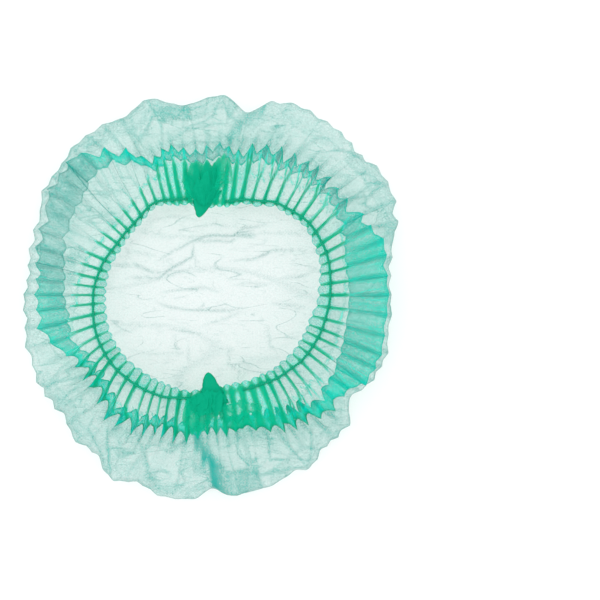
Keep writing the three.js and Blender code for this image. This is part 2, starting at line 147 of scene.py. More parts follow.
def set_world(strength):
    """An even white surround."""
    world = bpy.data.worlds.new("white_surround")
    bpy.context.scene.world = world
    world.use_nodes = True
    background = world.node_tree.nodes["Background"].inputs
    background["Color"].default_value = (1, 1, 1, 1)
    background["Strength"].default_value = strength


add_table()
set_world(strength=0.74)
add_softbox("overhead_softbox", location=(-0.2, 0.28, 1.9), side=0.9, power=21)
scene = bpy.context.scene
scene.view_settings.view_transform = "Standard"
scene.cycles.transparent_max_bounces = 64  # the eye looks through many layers of cloth
print("table, surround and softbox are in place")

# %% [markdown]
# ## The cap's plan
# Seen from above, the cap has five curves: the free edge of the frill, the ring of elastic, the
# crest and the tuck where the side wall doubles back, and the outer edge. They were measured in
# the photograph every few degrees round the middle of the mouth, and are kept as shares of a few
# real sizes. Almost the same numbers shape the solids of the frame, so the cloth fits over them.

# %% Sizes
CAP_RADIUS = 156 * MM
MOUTH_RADIUS = 87 * MM
FRILL_WIDTH = 9.5 * MM
EDGE_TURN = 12 * MM  # how far inside the outer edge the cloth meets the table
FOLD_NOSE = 3.2 * MM  # how far the bend of a doubled fold reaches past its two layers
PLEATS = 72
PLEAT_HEIGHT = 2.2 * MM
PLEAT_DEPTH = 4 * MM  # how far a fold zigzags in plan
PLEAT_DRIFT = 0.7  # how far the pleats' spacing drifts, in degrees
FAN_TURN = 4.5  # how far the pleats lean towards the end gathers, in degrees
BILLOW_HEIGHT = 2.6 * MM  # how much higher the bag stands where its edge is drawn in by a tenth
CLOTH_FOOT = 0.6 * MM  # the lowest height of the cloth

# %% Tables of the plan
# Angles are in degrees. A radius is a share of CAP_RADIUS, a ring of MOUTH_RADIUS, a frill of
# FRILL_WIDTH and a depth of PLEAT_DEPTH. Crest and tuck are places between ring and outline.
Outline = namedtuple("Outline", "angle radius")
Mouth = namedtuple("Mouth", "angle ring frill")
Fold = namedtuple("Fold", "angle crest tuck depth")

OUTLINE = [Outline(*row) for row in [
    (0, 0.93), (8, 0.935), (15, 0.97), (22, 1.025), (30, 1.08), (36, 1.085), (43, 1.05),
    (52, 1.075), (65, 1.07), (71, 1.045), (78, 0.955), (86, 1.025), (97, 0.975), (107, 1.05),
    (115, 1.005), (122, 1.02), (131, 1.025), (140, 1.0), (147, 0.995), (156, 0.95), (165, 0.935),
    (172, 0.92), (184, 0.935), (196, 0.96), (208, 0.975), (219, 0.955), (227, 0.995),
    (234, 0.985), (242, 1.055), (249, 1.015), (257, 1.045), (266, 1.04), (271, 0.98),
    (277, 1.025), (287, 1.02), (296, 0.99), (300, 1.015), (308, 0.97), (317, 0.97),
    (324, 0.885), (334, 0.945), (342, 0.95), (351, 0.93),
]]

MOUTH = [Mouth(*row) for row in [
    (0, 1.11, 1.0), (20, 1.145, 0.75), (35, 1.135, 0.5), (50, 1.065, 0.4), (65, 0.955, 0.4),
    (80, 0.865, 0.4), (92, 0.84, 0.4), (105, 0.91, 0.5), (120, 0.975, 0.4), (135, 0.935, 0.4),
    (150, 0.945, 0.5), (165, 1.0, 0.75), (180, 1.035, 1.0), (200, 1.065, 1.15),
    (215, 1.065, 1.25), (230, 1.035, 1.25), (245, 1.0, 1.1), (258, 0.945, 0.6),
    (270, 0.89, 0.6), (285, 0.89, 0.6), (300, 0.93, 0.7), (315, 0.99, 0.9), (330, 1.045, 1.1),
    (345, 1.08, 1.25),
]]

FOLD = [Fold(*row) for row in [
    (0, 0.94, 0.31, 0.2), (15, 0.88, 0.25, 0.3), (25, 0.6, 0.29, 0.7), (32, 0.46, 0.31, 0.9),
    (45, 0.51, 0.4, 1.1), (58, 0.5, 0.38, 1.1), (70, 0.52, 0.4, 1.1), (80, 0.54, 0.43, 1.0),
    (92, 0.5, 0.4, 0.9), (102, 0.51, 0.41, 0.9), (112, 0.44, 0.34, 0.9), (120, 0.62, 0.5, 0.8),
    (127, 0.76, 0.62, 0.7), (134, 0.92, 0.64, 0.5), (145, 0.92, 0.59, 0.5), (155, 0.89, 0.6, 0.6),
    (165, 0.88, 0.52, 0.6), (177, 0.82, 0.44, 0.5), (190, 0.77, 0.36, 0.5), (198, 0.6, 0.36, 0.7),
    (205, 0.4, 0.23, 0.9), (215, 0.35, 0.19, 1.0), (225, 0.42, 0.27, 1.1), (231, 0.52, 0.38, 1.2),
    (238, 0.44, 0.29, 1.3), (250, 0.37, 0.23, 1.3), (260, 0.39, 0.27, 1.2), (270, 0.38, 0.26, 1.1),
    (285, 0.37, 0.23, 1.0), (298, 0.5, 0.3, 1.1), (308, 0.61, 0.41, 1.1), (318, 0.72, 0.54, 1.0),
    (326, 0.9, 0.55, 0.5), (334, 0.92, 0.4, 0.35), (345, 0.92, 0.33, 0.2),
]]


def mix(a, b, share):
    """The value at a share of the way from a to b."""
    return a + (b - a) * share


def ease(share):
    """A smooth step from 0 to 1."""
    share = np.clip(share, 0.0, 1.0)
    return share * share * (3 - 2 * share)


def between(values, start, end, soft):
    """1 between start and end, falling to 0 over soft beyond them."""
    return ease((values - start) / soft + 1) * ease((end - values) / soft + 1)


def bell(values, width):
    """1 where values are 0, falling to 0 a few widths away from there."""
    return np.exp(-((values / width) ** 2))


def around(table, key, angle):
    """A table's value at angles in degrees, eased between its rows all the way round."""
    knots = np.array([row.angle for row in table] + [table[0].angle + 360.0])
    values = np.array([getattr(row, key) for row in [*table, table[0]]])
    wrapped = np.mod(angle - knots[0], 360.0) + knots[0]
    i = np.clip(np.searchsorted(knots, wrapped, side="right") - 1, 0, len(table) - 1)
    return mix(values[i], values[i + 1], ease((wrapped - knots[i]) / (knots[i + 1] - knots[i])))


def plan_at(angle):
    """Radii of the plan's curves at angles in degrees."""
    ring = MOUTH_RADIUS * around(MOUTH, "ring", angle)
    outline = CAP_RADIUS * around(OUTLINE, "radius", angle)
    return {
        "ring": ring,
        "outline": outline,
        "frill": ring - FRILL_WIDTH * around(MOUTH, "frill", angle),
        "crest": mix(ring, outline, around(FOLD, "crest", angle)),
        "tuck": mix(ring, outline, around(FOLD, "tuck", angle)),
        "foot": outline - EDGE_TURN,
    }


def polar(radius, degrees, height):
    """Points by their radius and angle round the middle of the mouth, and their height."""
    turn = np.radians(degrees)
    return np.stack([radius * np.cos(turn), radius * np.sin(turn), height], axis=-1)


ring_length = 2 * np.pi * np.mean(plan_at(np.arange(360.0))["ring"])
print(f"elastic ring: {ring_length / MM:.0f} mm round")

# %% [markdown]
# ## The cloth, from the frill to the table
# A section through the side of the bag runs up over the elastic, out to the crest, back under
# itself to the tuck, out again to the outer edge, and down to the table. Each row of the table
# below is one point of that section. Round the cap every section carries the accordion pleats:
# a pleat is mostly a flat gap with one narrow standing fold, because the elastic has pulled the
# spare cloth up between its stitches. The mesh has its columns crowded onto the standing folds.

# %% Rows of the section
# A row lies a share of the way between two curves of the plan, plus so many noses of a fold.
# Then come how much of the pleats' height, of the zigzag, of the billow and of the fan it takes,
# how crisp its pleats are, how loose it hangs, and how many mesh rows lead to the next one.
Row = namedtuple("Row", "start end share nose height ripple zigzag billow fan crisp loose steps")
TOP, MIDDLE, LOWER = 32 * MM, 23.5 * MM, 16 * MM  # heights of the three layers at the side

ROWS = [Row(*row) for row in [
    ("ring", "frill", 1, 0, 30.5 * MM, 0.55, 0, 0, -0.2, 1, 0, 5),
    ("ring", "ring", 0, 0, 29.5 * MM, 0.55, 0, 0, 0, 1, 0, 14),
    ("ring", "crest", 0.5, 0, TOP, 1, 0, 0, 0.5, 1, 0.1, 6),
    ("crest", "crest", 0, -1, TOP, 0.9, 1, 0.3, 1, 1, 0.2, 3),
    ("crest", "crest", 0, 0, (TOP + MIDDLE) / 2, 0.9, 1, 0.3, 1, 1, 0.2, 3),
    ("crest", "crest", 0, -1, MIDDLE, 0.9, 1, 0.3, 1, 1, 0.2, 3),
    ("tuck", "tuck", 0, 1, MIDDLE, 0.9, 0.6, 0.3, 1, 1, 0.2, 3),
    ("tuck", "tuck", 0, 0, (MIDDLE + LOWER) / 2, 0.9, 0.6, 0.4, 1, 1, 0.2, 3),
    ("tuck", "tuck", 0, 1, LOWER, 0.9, 0.6, 0.6, 1, 1, 0.3, 15),
    ("tuck", "outline", 0.6, 0, LOWER, 0.9, 0, 1, 0.8, 0.45, 1, 13),
    ("outline", "outline", 0, -1, 12.5 * MM, 0.5, 0.4, 1, 0.6, 0.2, 1, 3),
    ("outline", "outline", 0, 0, 8 * MM, 0.2, 0.5, 0.5, 0.5, 0.2, 0.8, 3),
    ("outline", "foot", 0.35, 0, 3 * MM, 0, 0.4, 0, 0.4, 0.2, 0.3, 3),
    ("foot", "foot", 0, 0, CLOTH_FOOT, 0, 0.2, 0, 0.3, 0, 0, 1),
]]

# %% Columns: twelve to a pleat, crowded onto its standing fold
FOLD_PHASES = [-0.5, -0.38, -0.27, -0.17, -0.11, -0.055, 0, 0.055, 0.11, 0.17, 0.27, 0.38]
FOLD_WIDTH = 0.085  # share of a pleat's pitch that half its standing fold takes
GATHERED_WIDENING = 2.4  # the folds fill up towards the end gathers
GATHERED_PLEATS = [(15.5, 21.3), (52.6, 59.5)]  # first and last pleat of each end gather
GATHER_FADE = 3  # pleats beside a gather over which the cloth opens out again

pleat_index = np.repeat(np.arange(PLEATS), len(FOLD_PHASES))
phase = np.tile(FOLD_PHASES, PLEATS)
COLUMNS = len(phase)
off_fold = 2 * np.abs(phase)  # 0 on a standing fold, 1 half-way between two
zigzag_wave = 2 * (1 - off_fold) ** 1.15 - 1  # pointed outwards at a standing fold
scallop_wave = 2.2 * (1 - off_fold) ** 2.2 - 1  # the same, and round between two of them
arch_wave = 2 * off_fold ** 1.8 - 1  # pointed outwards between two standing folds

dice = np.random.default_rng(21)
pleat_size = dice.uniform(0.65, 1.3, PLEATS)[pleat_index]
pleat_lean = dice.uniform(-1.0, 1.0, PLEATS)[pleat_index]


def spread_angle(even):
    """The angle at the ring of an evenly spaced one, with the pleats' uneven spacing."""
    drift = np.sin(np.radians(5 * even)) + np.sin(np.radians(11 * even + 40))
    return even + PLEAT_DRIFT * drift


ring_angle = spread_angle((pleat_index + phase) * 360 / PLEATS)


def near_gathers(pleat):
    """1 at the end gathers, fading to 0 beside them; a pleat may be a number in between."""
    near = np.zeros_like(pleat)
    for first, last in GATHERED_PLEATS:
        away = np.abs(pleat - (first + last) / 2) - (last - first) / 2
        near = np.maximum(near, 1 - ease(away / GATHER_FADE))
    return near


def fanned(at_ring, share):
    """An angle at the ring, turned by a share of the pleats' lean towards the gathers."""
    return at_ring + share * FAN_TURN * np.sin(np.radians(2 * at_ring))


gathered = near_gathers(pleat_index + phase)
standing_fold = bell(phase, FOLD_WIDTH * mix(1.0, GATHERED_WIDENING, gathered))
print(f"{COLUMNS} columns round the cap")


# %% One row of the cloth
LEAN_TURN = 1.1  # how far a standing fold leans over, in degrees
FRILL_SCALLOP = 2.1 * MM  # how far the frill's edge swells between two standing folds
FRILL_MIDDLE = 0.6  # share of a scallop that leaves the frill's edge where the plan has it
SCALLOPS = (205, 262)  # first and last angle of the part of the fold that has scallops
ARCHES = (287, 326)  # the same for arches
WAVE_BLEND = 6  # degrees over which one kind of fold turns into the next
TUCK_ARCH = 1.7  # the arches of the tuck are this much deeper than those of the crest
EDGE_DEPTHS = (0.3, 0.95)  # the outer edge zigzags less than the fold over it
GATHERED_STRENGTH, GATHERED_ZIGZAG = 0.3, 0.75  # what the end gathers leave of the pleats


def cloth_row(row):
    """The points of one row of the section, all the way round."""
    turned = fanned(ring_angle, row.fan)
    plan = plan_at(turned)
    sides = np.cos(np.radians(turned)) ** 2
    crisp = mix(sides, 1.0, row.crisp) * pleat_size
    strength = mix(1.0, GATHERED_STRENGTH, gathered) * crisp
    dent = (1 - plan["outline"] / CAP_RADIUS) / 0.1
    radius = mix(plan[row.start], plan[row.end], row.share) + row.nose * FOLD_NOSE
    depth = around(FOLD, "depth", turned)
    wave = zigzag_wave
    if row.end in ("crest", "tuck"):
        turn = np.mod(turned, 360)
        wave = mix(wave, scallop_wave, between(turn, *SCALLOPS, WAVE_BLEND))
        arches = arch_wave * (1.0 if row.end == "crest" else TUCK_ARCH)
        wave = mix(wave, arches, between(turn, *ARCHES, WAVE_BLEND))
    else:
        depth = mix(*EDGE_DEPTHS, depth)
    depth = depth * row.zigzag * PLEAT_DEPTH * mix(1.0, GATHERED_ZIGZAG, gathered) * crisp
    radius = radius + depth * wave
    if row.end == "frill":
        radius = radius - FRILL_SCALLOP * (np.abs(np.sin(np.pi * phase)) - FRILL_MIDDLE)
    fold = mix(zigzag_wave, 1.9 * standing_fold - 0.45, row.crisp)
    height = row.height + row.ripple * PLEAT_HEIGHT * fold * strength
    height = height + row.billow * BILLOW_HEIGHT * dent
    lean = LEAN_TURN * pleat_lean * standing_fold * strength * row.crisp
    return polar(radius, turned + lean, height)


# %% Join the rows with smooth curves
def unit(vectors):
    """The same directions at a length of 1."""
    return vectors / np.maximum(np.linalg.norm(vectors, axis=-1, keepdims=True), 1e-9)


def smooth_section(rows):
    """Curves through the rows' points, column by column, and how far along each new row lies."""
    points = np.array([cloth_row(row) for row in rows])
    padded = np.concatenate([points[:1], points, points[-1:]])
    tangents = unit(padded[2:] - padded[:-2])
    sections, places = [], []
    for i in range(len(rows) - 1):
        here, there = points[i], points[i + 1]
        reach = np.linalg.norm(there - here, axis=-1, keepdims=True)
        leaving, arriving = reach * tangents[i], reach * tangents[i + 1]
        for t in np.arange(rows[i].steps) / rows[i].steps:
            from_here = (1 + 2 * t) * (1 - t) ** 2 * here + t * (1 - t) ** 2 * leaving
            to_there = t * t * (3 - 2 * t) * there + t * t * (t - 1) * arriving
            sections.append(from_here + to_there)
            places.append(i + t)
    return np.array([*sections, points[-1]]), np.array([*places, len(rows) - 1])


side_wall, row_place = smooth_section(ROWS)
print(f"side of the bag: {side_wall.shape[0]} rows of {COLUMNS} points")


# %% [markdown]
# ## Loose folds and packing creases
# The outer bag hangs free, so it is full of soft hollows with a sharp thin crease here and there.
# The crown was folded flat in its packet and keeps long creases across. All of it is real relief
# here. A slow noise makes the hollows. The creases that the eye picks out follow paths that were
# measured in the photograph. The weak ones between them are the lines where a second noise
# passes through zero, because such lines wander, fork and fade as creases in cloth do.

# %% Noise and line helpers
def field(points, scale, seed):
    """Smooth noise between -1 and 1 at points, with features of about one unit after scaling."""
    scaled = (points * np.asarray(scale) + seed * 17.31).reshape(-1, 3)
    return np.array([noise.noise(Vector(p)) for p in scaled]).reshape(points.shape[:-1])


def beside_path(places, path):
    """How far points lie from a path, and how far along it the nearest place is, from 0 to 1."""
    path = np.array(path) * MM
    nearest, along = np.full(places.shape[:-1], np.inf), np.zeros(places.shape[:-1])
    for n, (start, step) in enumerate(zip(path, np.diff(path, axis=0))):
        share = np.clip((places - start) @ step / (step @ step), 0, 1)
        away = np.linalg.norm(places - start - share[..., None] * step, axis=-1)
        along = np.where(away < nearest, (n + share) / (len(path) - 1), along)
        nearest = np.minimum(nearest, away)
    return nearest, along


def path_line(places, path, width):
    """1 on a path, fading to 0 beside it and towards its ends."""
    away, along = beside_path(places, path)
    return np.sqrt(np.sin(np.pi * np.clip(along, 0.01, 0.99))) * bell(away, width)


# %% Loosen the outer bag
HOLLOW_HEIGHT = 4.2 * MM
CREASE_HEIGHT = 1.6 * MM
EDGE_WANDER = 2.0 * MM  # how far the loose cloth wanders outwards and inwards

loose = np.interp(row_place, np.arange(len(ROWS)), [row.loose for row in ROWS])[:, None]
place_round = np.stack(np.broadcast_arrays(
    np.cos(np.radians(ring_angle))[None, :],
    np.sin(np.radians(ring_angle))[None, :],
    row_place[:, None] / 4,
), axis=-1)
hollows = field(place_round, (5.5, 5.5, 2.2), 1) + 0.5 * field(place_round, (12, 12, 3.5), 2)
radial_lines = bell(field(place_round, (9, 9, 1.6), 3), 0.05)
cross_lines = bell(field(place_round, (4, 4, 4.5), 4), 0.035)
bag_creases = np.maximum(radial_lines, 0.8 * cross_lines) * np.clip(loose, 0.15, 1)
side_wall[..., 2] += loose * (HOLLOW_HEIGHT * hollows + CREASE_HEIGHT * bag_creases)
outward = unit(side_wall * (1, 1, 0))
side_wall += outward * (loose * EDGE_WANDER * field(place_round, (9, 9, 3), 5))[..., None]
print("loose folds and creases are on the outer bag")

# %% [markdown]
# Near its outer edge the bag has rolled over itself in long strips, and a few deep tucks run out
# from the gathers. Each is a raised line with a second ply beside it.

# %% Rolls and tucks
Roll = namedtuple("Roll", "start end inset sway plies")  # degrees; mm inside the outer edge
ROLLS = [Roll(*row) for row in [
    (18, 44, 13, 5, 1.2), (50, 74, 16, 5, 0.9), (84, 104, 11, 3, 1.3), (104, 128, 14, 4, 1.0),
    (128, 150, 9, 3, 0.8), (206, 228, 12, 4, 0.9), (230, 252, 16, 6, 0.8), (252, 268, 10, 3, 1.0),
    (290, 318, 11, 4, 0.8),
]]
Tuck = namedtuple("Tuck", "angle bend start end width plies")  # degrees; start and end in mm
TUCKS = [Tuck(*row) for row in [
    (81, -5.4, 127, 156, 1.8, 6.0), (266, 6, 110, 134, 1.9, 12.0),
    (270.5, 2.5, 130, 156, 1.3, 17.0), (64, 3, 112, 150, 0.7, 1.6),
    (111, 5, 112, 158, 0.6, 1.8), (118, -3, 108, 140, 0.5, 1.4), (47, -4, 118, 160, 0.6, 1.2),
    (240, 3, 104, 140, 0.5, 1.4), (257, -3, 104, 142, 0.6, 1.5), (296, 3, 110, 146, 0.6, 1.6),
    (306, -2, 112, 146, 0.5, 1.5), (30, 2, 126, 160, 0.6, 1.2), (219, -4, 106, 138, 0.5, 1.3),
    (233, 8, 131, 166, 0.5, 2.4), (116, -6, 126, 152, 0.5, 1.8),
]]
Patch = namedtuple("Patch", "start end inner outer plies")  # degrees; inner and outer in mm
PATCHES = [Patch(*row) for row in [
    (273, 285, 141, 160, 3.4), (262, 272, 128, 140, 0.8), (66, 82, 118, 130, 0.8),
    (214, 226, 128, 150, 0.6), (97, 104, 143, 152, 2.6), (134, 150, 112, 146, 1.3),
]]
BAG_CREASES = [  # paths as (x, y) in mm from the middle of the mouth
    [(-50, 158), (-57, 147), (-69, 139), (-80, 134)],
    [(-50, 155), (-43, 147), (-37, 135), (-36, 118)], [(-42, 149), (-47, 137), (-55, 120)],
    [(-50, 155), (-39, 150), (-20, 147), (-3, 152), (10, 160)],
    [(10, 159), (5, 145), (-3, 139), (-30, 129)], [(10, 159), (16, 143), (25, 136)],
    [(-34, 120), (-16, 132), (5, 137), (17, 135)], [(-26, 117), (-8, 123), (9, 121), (21, 112)],
    [(82, 146), (100, 135), (111, 122), (118, 112)], [(88, 113), (106, 115), (119, 109), (140, 99)],
    [(94, 89), (111, 77), (128, 80), (132, 84), (150, 93)], [(118, 76), (132, 69), (148, 64)],
    [(-134, 86), (-122, 86), (-108, 81)], [(-134, -76), (-122, -69), (-101, -64), (-84, -59)],
    [(-80, -103), (-79, -125), (-78, -148)], [(-89, -93), (-95, -105), (-86, -121), (-79, -147)],
    [(-59, -105), (-50, -126), (-45, -144)], [(-79, -147), (-58, -147), (-44, -154)],
    [(-38, -121), (-29, -124), (-15, -112)], [(22, -103), (24, -126), (32, -134), (44, -125)],
    [(47, -105), (49, -130), (65, -130)], [(60, -103), (64, -119), (80, -137)],
    [(81, -101), (82, -121), (79, -137)], [(29, -143), (60, -138), (80, -134)],
    [(37, -122), (39, -140), (14, -141)],
]
CREASE_LINE_PLIES = 3.5
LINE_WIDTH = 0.9 * MM
EDGE_LIFT = 0.8 * MM


def rolls_and_tucks(points):
    """Plies that the rolls, tucks and patches add at points of the outer bag."""
    x, y = points[..., 0], points[..., 1]
    angle = np.degrees(np.arctan2(y, x)) % 360
    radius = np.hypot(x, y)
    inset = plan_at(angle)["outline"] - radius
    sway = field(polar(7, angle, 0 * radius), 1, 11)
    wisps = field(polar(42, angle, 40 * radius), 1, 12)
    plies = np.zeros_like(radius)
    for roll in ROLLS:
        behind = inset - (roll.inset + roll.sway * sway) * MM
        shape = ease(-behind / (2 * LINE_WIDTH)) + 1.5 * bell(behind, LINE_WIDTH)
        plies += roll.plies * shape * between(angle, roll.start, roll.end, 3)
    for tuck in TUCKS:
        start, end = tuck.start * MM, tuck.end * MM
        middle = tuck.angle + tuck.bend * ((radius - start) / (end - start) + 0.5 * sway)
        shape = bell(angle - middle + 1.2 * wisps, tuck.width) * (0.8 + 0.6 * wisps)
        plies += tuck.plies * shape * between(radius, start, end, 8 * MM)
    for patch in PATCHES:
        wavy = radius + 3 * MM * sway
        shape = between(wavy, patch.inner * MM, patch.outer * MM, 2 * MM) * (1 + 0.6 * wisps)
        plies += patch.plies * shape * between(angle + 2 * wisps, patch.start, patch.end, 2.5)
    swayed = points[..., :2] * (1 + 0.012 * sway)[..., None]
    for path in BAG_CREASES:
        plies += CREASE_LINE_PLIES * path_line(swayed, path, LINE_WIDTH)
    return plies


upper_rows = between(row_place, 8.2, 10.2, 0.5)[:, None]
edge_plies = upper_rows * rolls_and_tucks(side_wall)
side_wall[..., 2] += EDGE_LIFT * np.minimum(edge_plies, 2)
side_wall[..., 2] = np.maximum(side_wall[..., 2], CLOTH_FOOT)
print(f"rolls and tucks add up to {edge_plies.max():.1f} plies")

# %% The crown
Crease = namedtuple("Crease", "strength path")
CREASES = [Crease(*row) for row in [  # paths as (x, y) in mm from the middle of the mouth
    (1.0, [(-42, 28), (-26, 37), (-13, 43), (-3, 47), (20, 48), (28, 54), (39, 56), (48, 59)]),
    (0.7, [(-15, 43), (-2, 43), (18, 43.5), (24, 47)]),
    (0.9, [(-82, 25), (-58, 24.5), (-46, 20), (-38, 20)]),
    (1.1, [(-66, 14.5), (-40, 15), (-29, 22.5), (-13, 31), (-12, 42)]),
    (0.9, [(17, 28), (32, 29), (44, 33), (52, 37), (64, 36), (82, 36.5)]),
    (0.5, [(-12, 54.5), (5, 56), (22, 55)]), (0.7, [(-38, 3), (-20, 5), (-3, 6.5), (8, 3)]),
    (0.7, [(-42, -4), (-29, -10), (-8, -11), (16, -12), (30, -10)]),
    (0.7, [(-33, -27), (-16, -28), (-3, -29.5)]), (0.6, [(48, -6), (62, -7), (78, -8.5)]),
    (0.8, [(54, 12), (73, 15), (87, 21)]), (0.9, [(15.5, -40), (16.5, -54), (22, -58), (28, -64)]),
    (0.4, [(-11, 35), (-10, 23), (5, 18)]), (0.4, [(57, 51), (66, 50), (78, 47.5)]),
    (0.4, [(-78, -21), (-64, -23), (-50, -20.5)]), (0.4, [(-6, -23), (12, -18), (29, -13)]),
    (0.5, [(47, -23), (49, -41), (58, -44)]), (0.4, [(-27, -29), (-25.5, -45)]),
    (0.4, [(-16, -38), (-16.5, -53)]), (0.5, [(-68, 35), (-56, 34), (-42, 33)]),
    (0.4, [(-62, -44), (-45, -47), (-20, -45)]), (0.5, [(30, -60), (45, -62), (58, -58)]),
    (0.4, [(-50, 60), (-30, 63), (-8, 60)]), (0.4, [(20, 8), (34, 11), (50, 8)]),
]]
CREASE_WIDTH = 1.0 * MM
CREASE_WANDER = 1.6 * MM
WEAK_CREASE = 0.25  # strength of the creases between the measured ones
CROWN_WAVE = 1.6 * MM
WAVE_PART, CREASE_PART = 0.7, 0.9  # of CROWN_WAVE
OPEN_RADIUS = 88 * MM  # inside this the crown is seen through the mouth
OPEN_STEP, HIDDEN_STEP = 1.15 * MM, 2.8 * MM  # from ring to ring
CLOSEST = 0.62  # columns that come closer than this share of a step are halved in number
MOST_STRIDE = 16
SETTLED = 1 / 14  # share of the radius over which the crown rises from its edge


def crown_relief(x, y):
    """Height of the crown above the table, and how sharply it is creased."""
    places = np.stack([x, y, np.zeros_like(x)], axis=-1)
    swayed = np.stack([x, y + CREASE_WANDER * field(places, (60, 20, 1), 7)], axis=-1)
    lines = WEAK_CREASE * bell(field(places, (10, 26, 1), 6), 0.045)
    for crease in CREASES:
        lines = np.maximum(lines, crease.strength * path_line(swayed, crease.path, CREASE_WIDTH))
    waves = 0.5 + 0.5 * field(places, (18, 34, 1), 9)
    return CLOTH_FOOT + CROWN_WAVE * (WAVE_PART * waves + CREASE_PART * lines), lines


def crown_rings(foot):
    """Rings of the crown from the foot to the middle, with fewer columns as they get smaller."""
    rings, creased, stride = [], [], 1
    radius = float(np.mean(np.linalg.norm(foot[:, :2], axis=-1)))
    hidden = round((radius - OPEN_RADIUS) / HIDDEN_STEP)
    radii = np.concatenate([
        np.linspace(radius, OPEN_RADIUS, hidden, endpoint=False)[1:],
        np.linspace(OPEN_RADIUS, 0, round(OPEN_RADIUS / OPEN_STEP), endpoint=False)])
    for at in radii:
        step = OPEN_STEP if at <= OPEN_RADIUS else HIDDEN_STEP
        while at * 2 * math.pi / (COLUMNS / stride) < CLOSEST * step and stride < MOST_STRIDE:
            stride *= 2
        share = at / radius
        ring = foot[::stride] * share
        settle = ease((1 - share) / SETTLED)
        lift, lines = crown_relief(ring[:, 0], ring[:, 1])
        ring[:, 2] = mix(CLOTH_FOOT, lift, settle)
        rings.append(ring)
        creased.append(lines * settle)
    return rings, creased


crown, crown_creases = crown_rings(side_wall[-1].copy())
print(f"crown: {len(crown)} rings of {len(crown[0])} to {len(crown[-1])} points")


# %% [markdown]
# ## How many layers the eye looks through
# One layer hides only about an eighth of what lies behind it. Layers that really cross in the
# mesh add up by themselves. Three things are finer than the mesh: cloth that stands steeply shows
# the eye more fibre for each millimetre of plan, a pinched crease holds two or three plies, and
# a pleat near the gathers holds many. They are stored at each point as a number of plies, which
# the finish turns into its opacity. A second number, pressed, holds only the plies that are
# squeezed against each other, and picks the green: deeper where plies are pressed, greyed with
# painted shade where they are few, for the shade that this cloth doesn't cast, and darkened with
# painted shade on the most pressed plies of the gathers. It is below 0 where a single ply of the
# crown is seen through the mouth, which looks palest and gets the greyest painted shade.

# %% Mesh helpers
def stitch_rings(outer_start, outer_count, inner_start, inner_count):
    """Quads, or triangles where the count halves, between two closed rings of points."""
    i = np.arange(inner_count)
    if outer_count == inner_count:
        after = (i + 1) % inner_count
        corners = outer_start + i, inner_start + i, inner_start + after, outer_start + after
        return [np.stack(corners, -1)]
    edge = [outer_start + (2 * i + k) % outer_count for k in range(3)]
    here, there = inner_start + i, inner_start + (i + 1) % inner_count
    return [np.stack(face, -1) for face in (
        (edge[0], here, edge[1]), (edge[1], here, there), (edge[1], there, edge[2]))]


def grid_faces(rows, columns, start, closed=False):
    """Quads between the points of a grid; closed joins its last column to its first."""
    across = columns if closed else columns - 1
    i, j = np.meshgrid(np.arange(rows - 1), np.arange(across), indexing="ij")
    i, j, k = i.ravel() * columns + start, j.ravel(), (j.ravel() + 1) % columns
    return np.stack([i + j, i + k, i + k + columns, i + j + columns], -1).tolist()


def mesh_object(name, points, faces):
    """A smooth-shaded mesh object."""
    mesh = bpy.data.meshes.new(name)
    mesh.from_pydata(points.tolist(), [], faces)
    mesh.polygons.foreach_set("use_smooth", [True] * len(mesh.polygons))
    mesh.update()
    return add_object(name, mesh)


MOST_STEEP = 5.0  # cloth seen edge-on counts as this many plies
FEWEST_PLIES = 0.5  # where the cloth is stretched thin


def set_plies(piece, extra, pressed):
    """Stores the plies that each point shows from above, more where the cloth stands steeply,
    and how many of them are pressed together, which deepens their green, and which also sets
    where painted shade greys or darkens it."""
    normals = np.empty(3 * len(piece.data.vertices), dtype=np.float32)
    piece.data.vertices.foreach_get("normal", normals)
    steep = np.minimum(1 / np.maximum(np.abs(normals[2::3]), 1e-3), MOST_STEEP)
    for name, values in (("plies", np.maximum(steep + extra, FEWEST_PLIES)), ("pressed", pressed)):
        layer = piece.data.attributes.new(name, "FLOAT", "POINT")
        layer.data.foreach_set("value", values.astype(np.float32))


# %% Plies round the cap
Ply = namedtuple("Ply", "angle band edge reach")  # plies of the fold and its bends; mm to it
PLIES = [Ply(*row) for row in [
    (0, 4.3, 1, 12), (14, 5.0, 2, 13), (24, 3.6, 3, 16), (33, 1.2, 4.5, 24), (50, 0.8, 6, 34),
    (62, 2, 9, 34), (72, 3, 9, 34), (79, 3, 8, 30), (84, 0.8, 3, 28), (97, 1.2, 3, 28),
    (101, 3, 8, 30), (107, 4, 9, 30), (113, 6, 7, 28), (120, 8, 4, 16), (127, 6, 3, 12),
    (132, 4.5, 2.2, 11), (137, 1.6, 1.2, 11), (148, -0.2, 0.6, 11), (160, -0.2, 0.6, 12),
    (170, 1.5, 1, 13), (182, 3.6, 1, 14), (192, 4, 2, 18), (200, 4.4, 5, 22), (208, 5, 10, 24),
    (218, 4.6, 14, 26), (240, 5, 17, 27), (252, 5, 16, 28), (260, 5, 5, 30), (270, 4, 4, 30),
    (278, 6, 4, 30), (284, 15, 8, 30), (298, 16, 8, 30), (312, 14, 7, 30), (320, 10, 5, 26),
    (328, 7, 3, 18), (338, 4.0, 2, 14), (350, 3.9, 1, 12),
]]
RUNG_PLIES, HEM_PLIES, LOOP_PLIES, ARC_PLIES, TIP_PLIES = 24, 8, 7, 5, 4
BEND_FACTOR = 1.7  # on the table's plies for the bends of the fold
CUT_PLIES = 4  # along the free edge of the frill
FRILL_PLIES = 3.3
FRILL_PRESSED = 0.6  # share of the frill's plies that are squeezed together
GATHERED_PLIES = 22
GATHERED_REACH = 27  # mm outwards from the elastic
CREASE_PLIES, CREASED_CROWN = 2.2, 3  # on the creases of the bag and of the crown
CLOUD_PLIES = 5
CROWDED = (99, 119)  # first and last angle of the pleats that crowd beside the rear gather
CRUMPLED = (134, 172)  # first and last angle of the loosely crumpled part of the pleated band
SINGLE = -3  # a single ply, not pressed on any other
